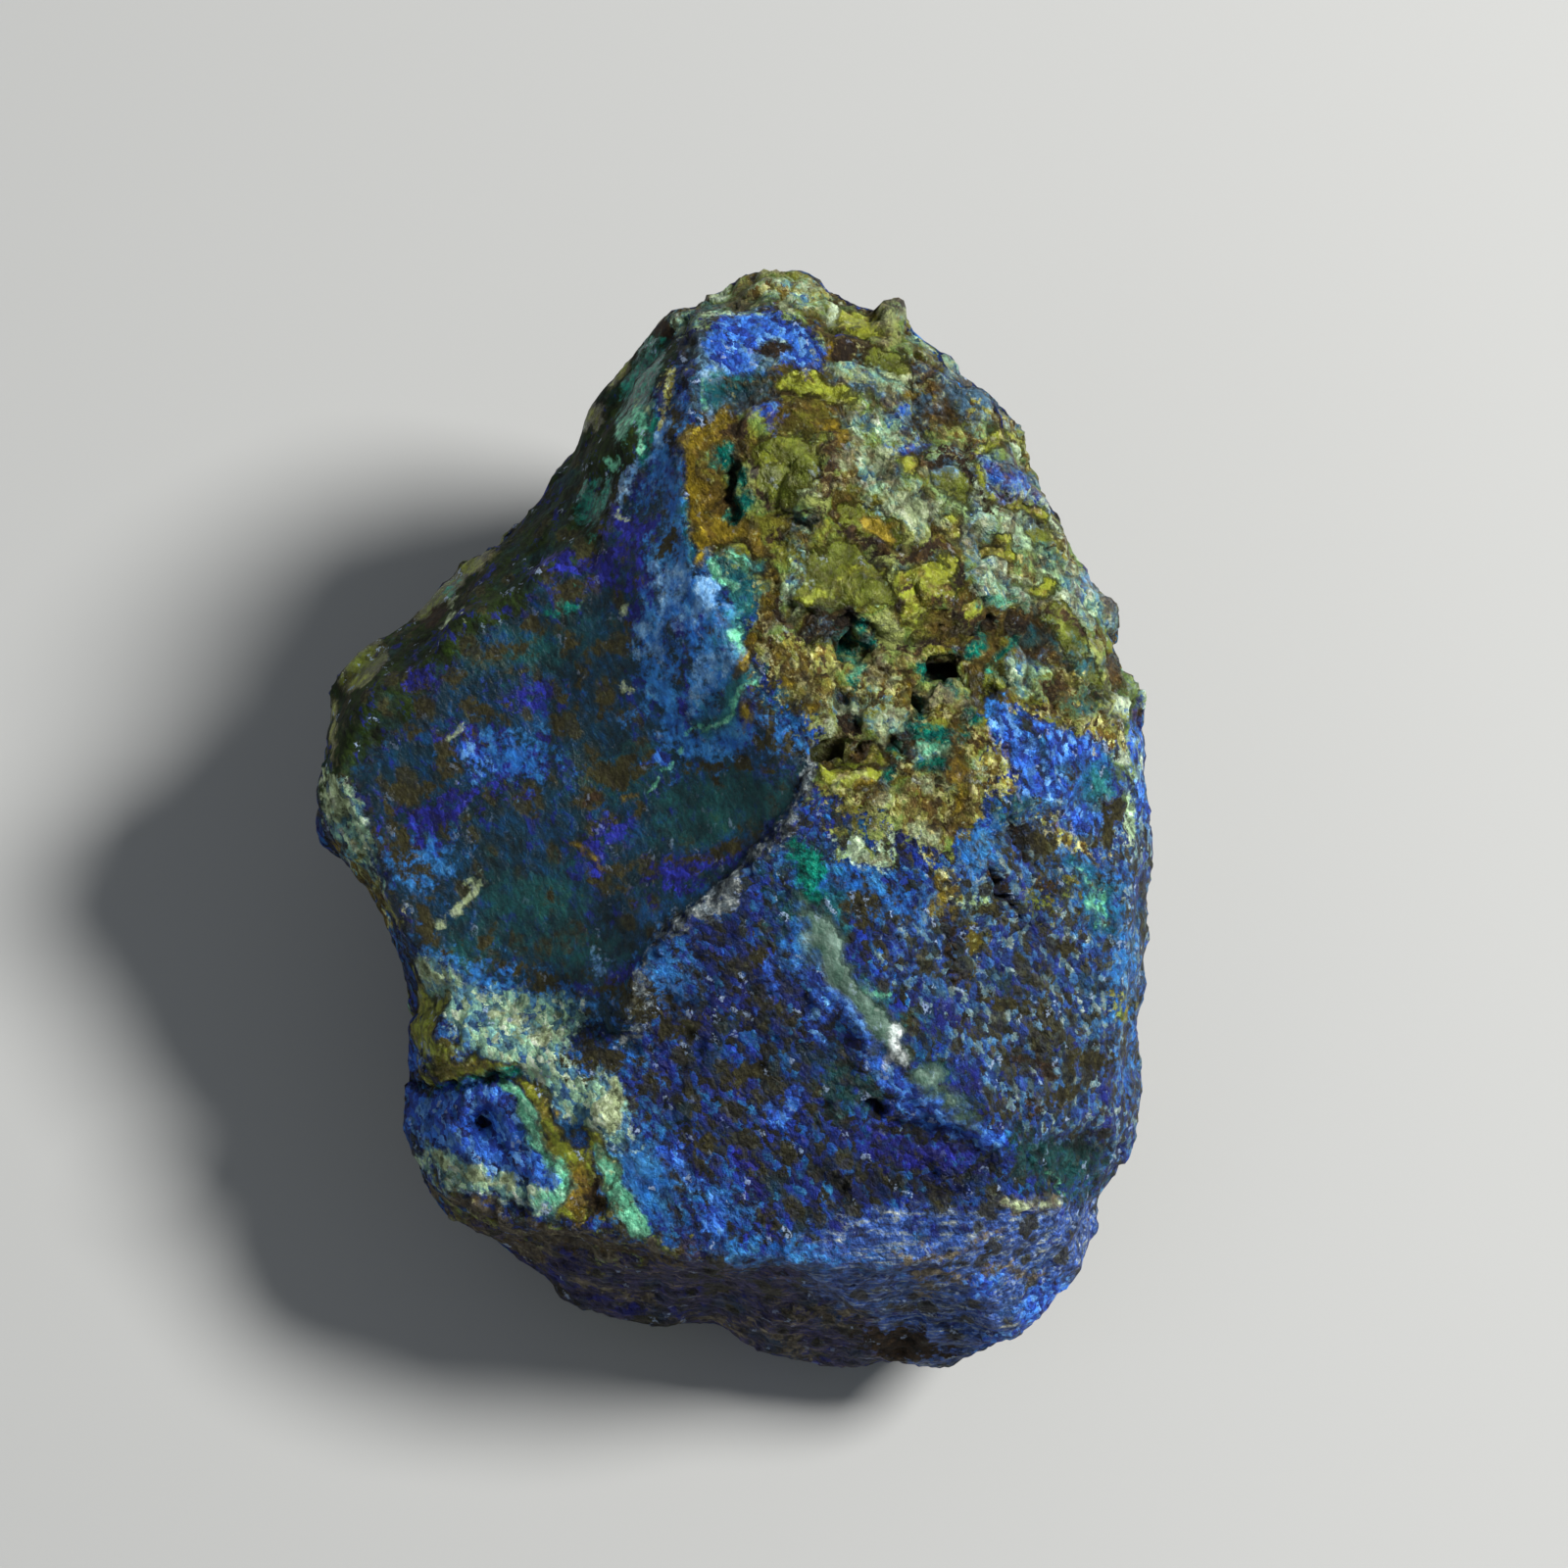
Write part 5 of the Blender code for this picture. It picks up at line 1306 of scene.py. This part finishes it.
def makeStoneFinish():
    material = bpy.data.materials.new("azuriteMalachite")
    material.use_nodes = True
    tree = material.node_tree
    shader = tree.nodes["Principled BSDF"]
    texture = addTextures(tree)
    colour = addTones(tree, texture["flecks"], finish["azurite"][0])
    roughness = addShift(tree, texture["ownShine"], 0.80, finish["azurite"][1] - 0.20)
    masks, depths = {}, {}
    for name, tone, breaker, reach, soft in layers:
        # the depth in the mineral, in mm, with its edge broken by a noise, and 1 where that shows
        broken = addMath(tree, "MULTIPLY_ADD", texture[breaker], reach, addMark(tree, name))
        depths[name] = addMath(tree, "SUBTRACT", broken, reach / 2)
        masks[name] = addRange(tree, depths[name], -soft, soft)
        colour = addBlend(tree, masks[name], colour, addTones(tree, texture[tone], finish[name][0]))
        roughness = addShift(tree, masks[name], roughness, finish[name][1])
        if name == "dustyAndSheen":
            colour = addBlueRockSpecks(tree, texture, colour)
    colour = addMalachiteDetail(tree, texture, colour, masks, depths)
    calm = addMath(tree, "MAXIMUM", masks["olive"], masks["vein"])
    calm = addMath(tree, "MAXIMUM", masks["steelBlue"], calm)
    colour = addGrainShade(tree, texture, colour, calm)
    proud = addMark(tree, "proud")
    # painted shade in the low places of the relief
    colour = addTint(tree, texture, colour, "paintedLowShade", proud)
    worn = addMath(tree, "MULTIPLY_ADD", texture["grit"], 0.4, proud)
    colour = addTint(tree, texture, colour, "wornSpots", worn)
    glint = addGlints(tree, texture, calm)
    # painted highlights on single grains, which also get a low roughness below
    colour = addTint(tree, texture, colour, "paintedGlints", glint)
    roughness = addShift(tree, glint, roughness, 0.14)
    # painted shade in the pits, cracks and block seams of the relief
    colour = addTint(tree, texture, colour, "paintedHollowShade", addMark(tree, "hollowShade"))
    link(tree, colour, shader.inputs["Base Color"])
    link(tree, roughness, shader.inputs["Roughness"])
    link(tree, addFineRelief(tree, texture, masks), shader.inputs["Normal"])
    shader.inputs["Metallic"].default_value = 0.0
    shader.inputs["Specular IOR Level"].default_value = 0.24
    return material


stage = {
    "floorSize": 1.6,                     # metres
    "floorTone": (168, 170, 170),
    "floorRoughness": 0.9,
    "skyTone": (0.86, 0.90, 0.96, 1.0),
    "skyStrength": 0.22,
    "lights": {                           # place and size in metres, watts and colour
        "keyLight": ((0.37, 0.08, 0.40), 0.16, 5.7, (1.0, 0.97, 0.93)),         # upper right as in the photo
        "fillLight": ((-0.42, -0.30, 0.34), 0.50, 0.35, (0.90, 0.95, 1.0)),
    },
    "sensorWidth": 36.0,                  # mm
    "eyeHeight": 72.0,                    # degrees over the surface
    "eyeDistance": 0.32,
    "frameWidth": 1600.0 / 21.0,          # mm across the picture, at 21 pixels to the millimetre
    "frameMiddle": (2.52, 2.10, 4.0),     # what the picture's middle looks at, in u, v and w
}


def makeFloor():
    bm = bmesh.new()
    bmesh.ops.create_grid(bm, x_segments=1, y_segments=1, size=stage["floorSize"] / 2)
    mesh = bpy.data.meshes.new("floor")
    bm.to_mesh(mesh)
    bm.free()
    floor = bpy.data.objects.new("floor", mesh)
    bpy.context.scene.collection.objects.link(floor)
    material = bpy.data.materials.new("paleFloor")
    material.use_nodes = True
    shader = material.node_tree.nodes["Principled BSDF"]
    shader.inputs["Base Color"].default_value = screen(*stage["floorTone"])
    shader.inputs["Roughness"].default_value = stage["floorRoughness"]
    mesh.materials.append(material)


def makeLight(name, place, size, power, colour):
    lamp = bpy.data.lights.new(name, "AREA")
    lamp.shape = "DISK"
    lamp.size = size
    lamp.energy = power
    lamp.color = colour
    light = bpy.data.objects.new(name, lamp)
    bpy.context.scene.collection.objects.link(light)
    light.location = place
    light.rotation_euler = Vector(place).to_track_quat("Z", "Y").to_euler()


def makeSky():
    world = bpy.data.worlds.new("studio")
    world.use_nodes = True
    background = world.node_tree.nodes["Background"]
    background.inputs["Color"].default_value = stage["skyTone"]
    background.inputs["Strength"].default_value = stage["skyStrength"]
    bpy.context.scene.world = world


def makeCamera():
    u, v, w = stage["frameMiddle"]
    lean = math.radians(shape["lean"])
    target = Vector((
        u - shape["middle"][0],
        v * math.cos(lean) - w * math.sin(lean) - shape["middle"][1],
        v * math.sin(lean) + w * math.cos(lean) + shape["lift"],
    )) * 0.001
    height = math.radians(stage["eyeHeight"])
    back = Vector((0.0, -math.cos(height), math.sin(height)))
    camera = bpy.data.cameras.new("eye")
    camera.sensor_width = stage["sensorWidth"]
    camera.lens = stage["sensorWidth"] * stage["eyeDistance"] * 1000.0 / stage["frameWidth"]
    eye = bpy.data.objects.new("eye", camera)
    bpy.context.scene.collection.objects.link(eye)
    eye.location = target + back * stage["eyeDistance"]
    eye.rotation_euler = back.to_track_quat("Z", "Y").to_euler()
    bpy.context.scene.camera = eye


makeStone()
makeFloor()
for lightName, values in stage["lights"].items():
    makeLight(lightName, *values)
makeSky()
makeCamera()
bpy.context.scene.view_settings.view_transform = "Standard"
print("stage set")
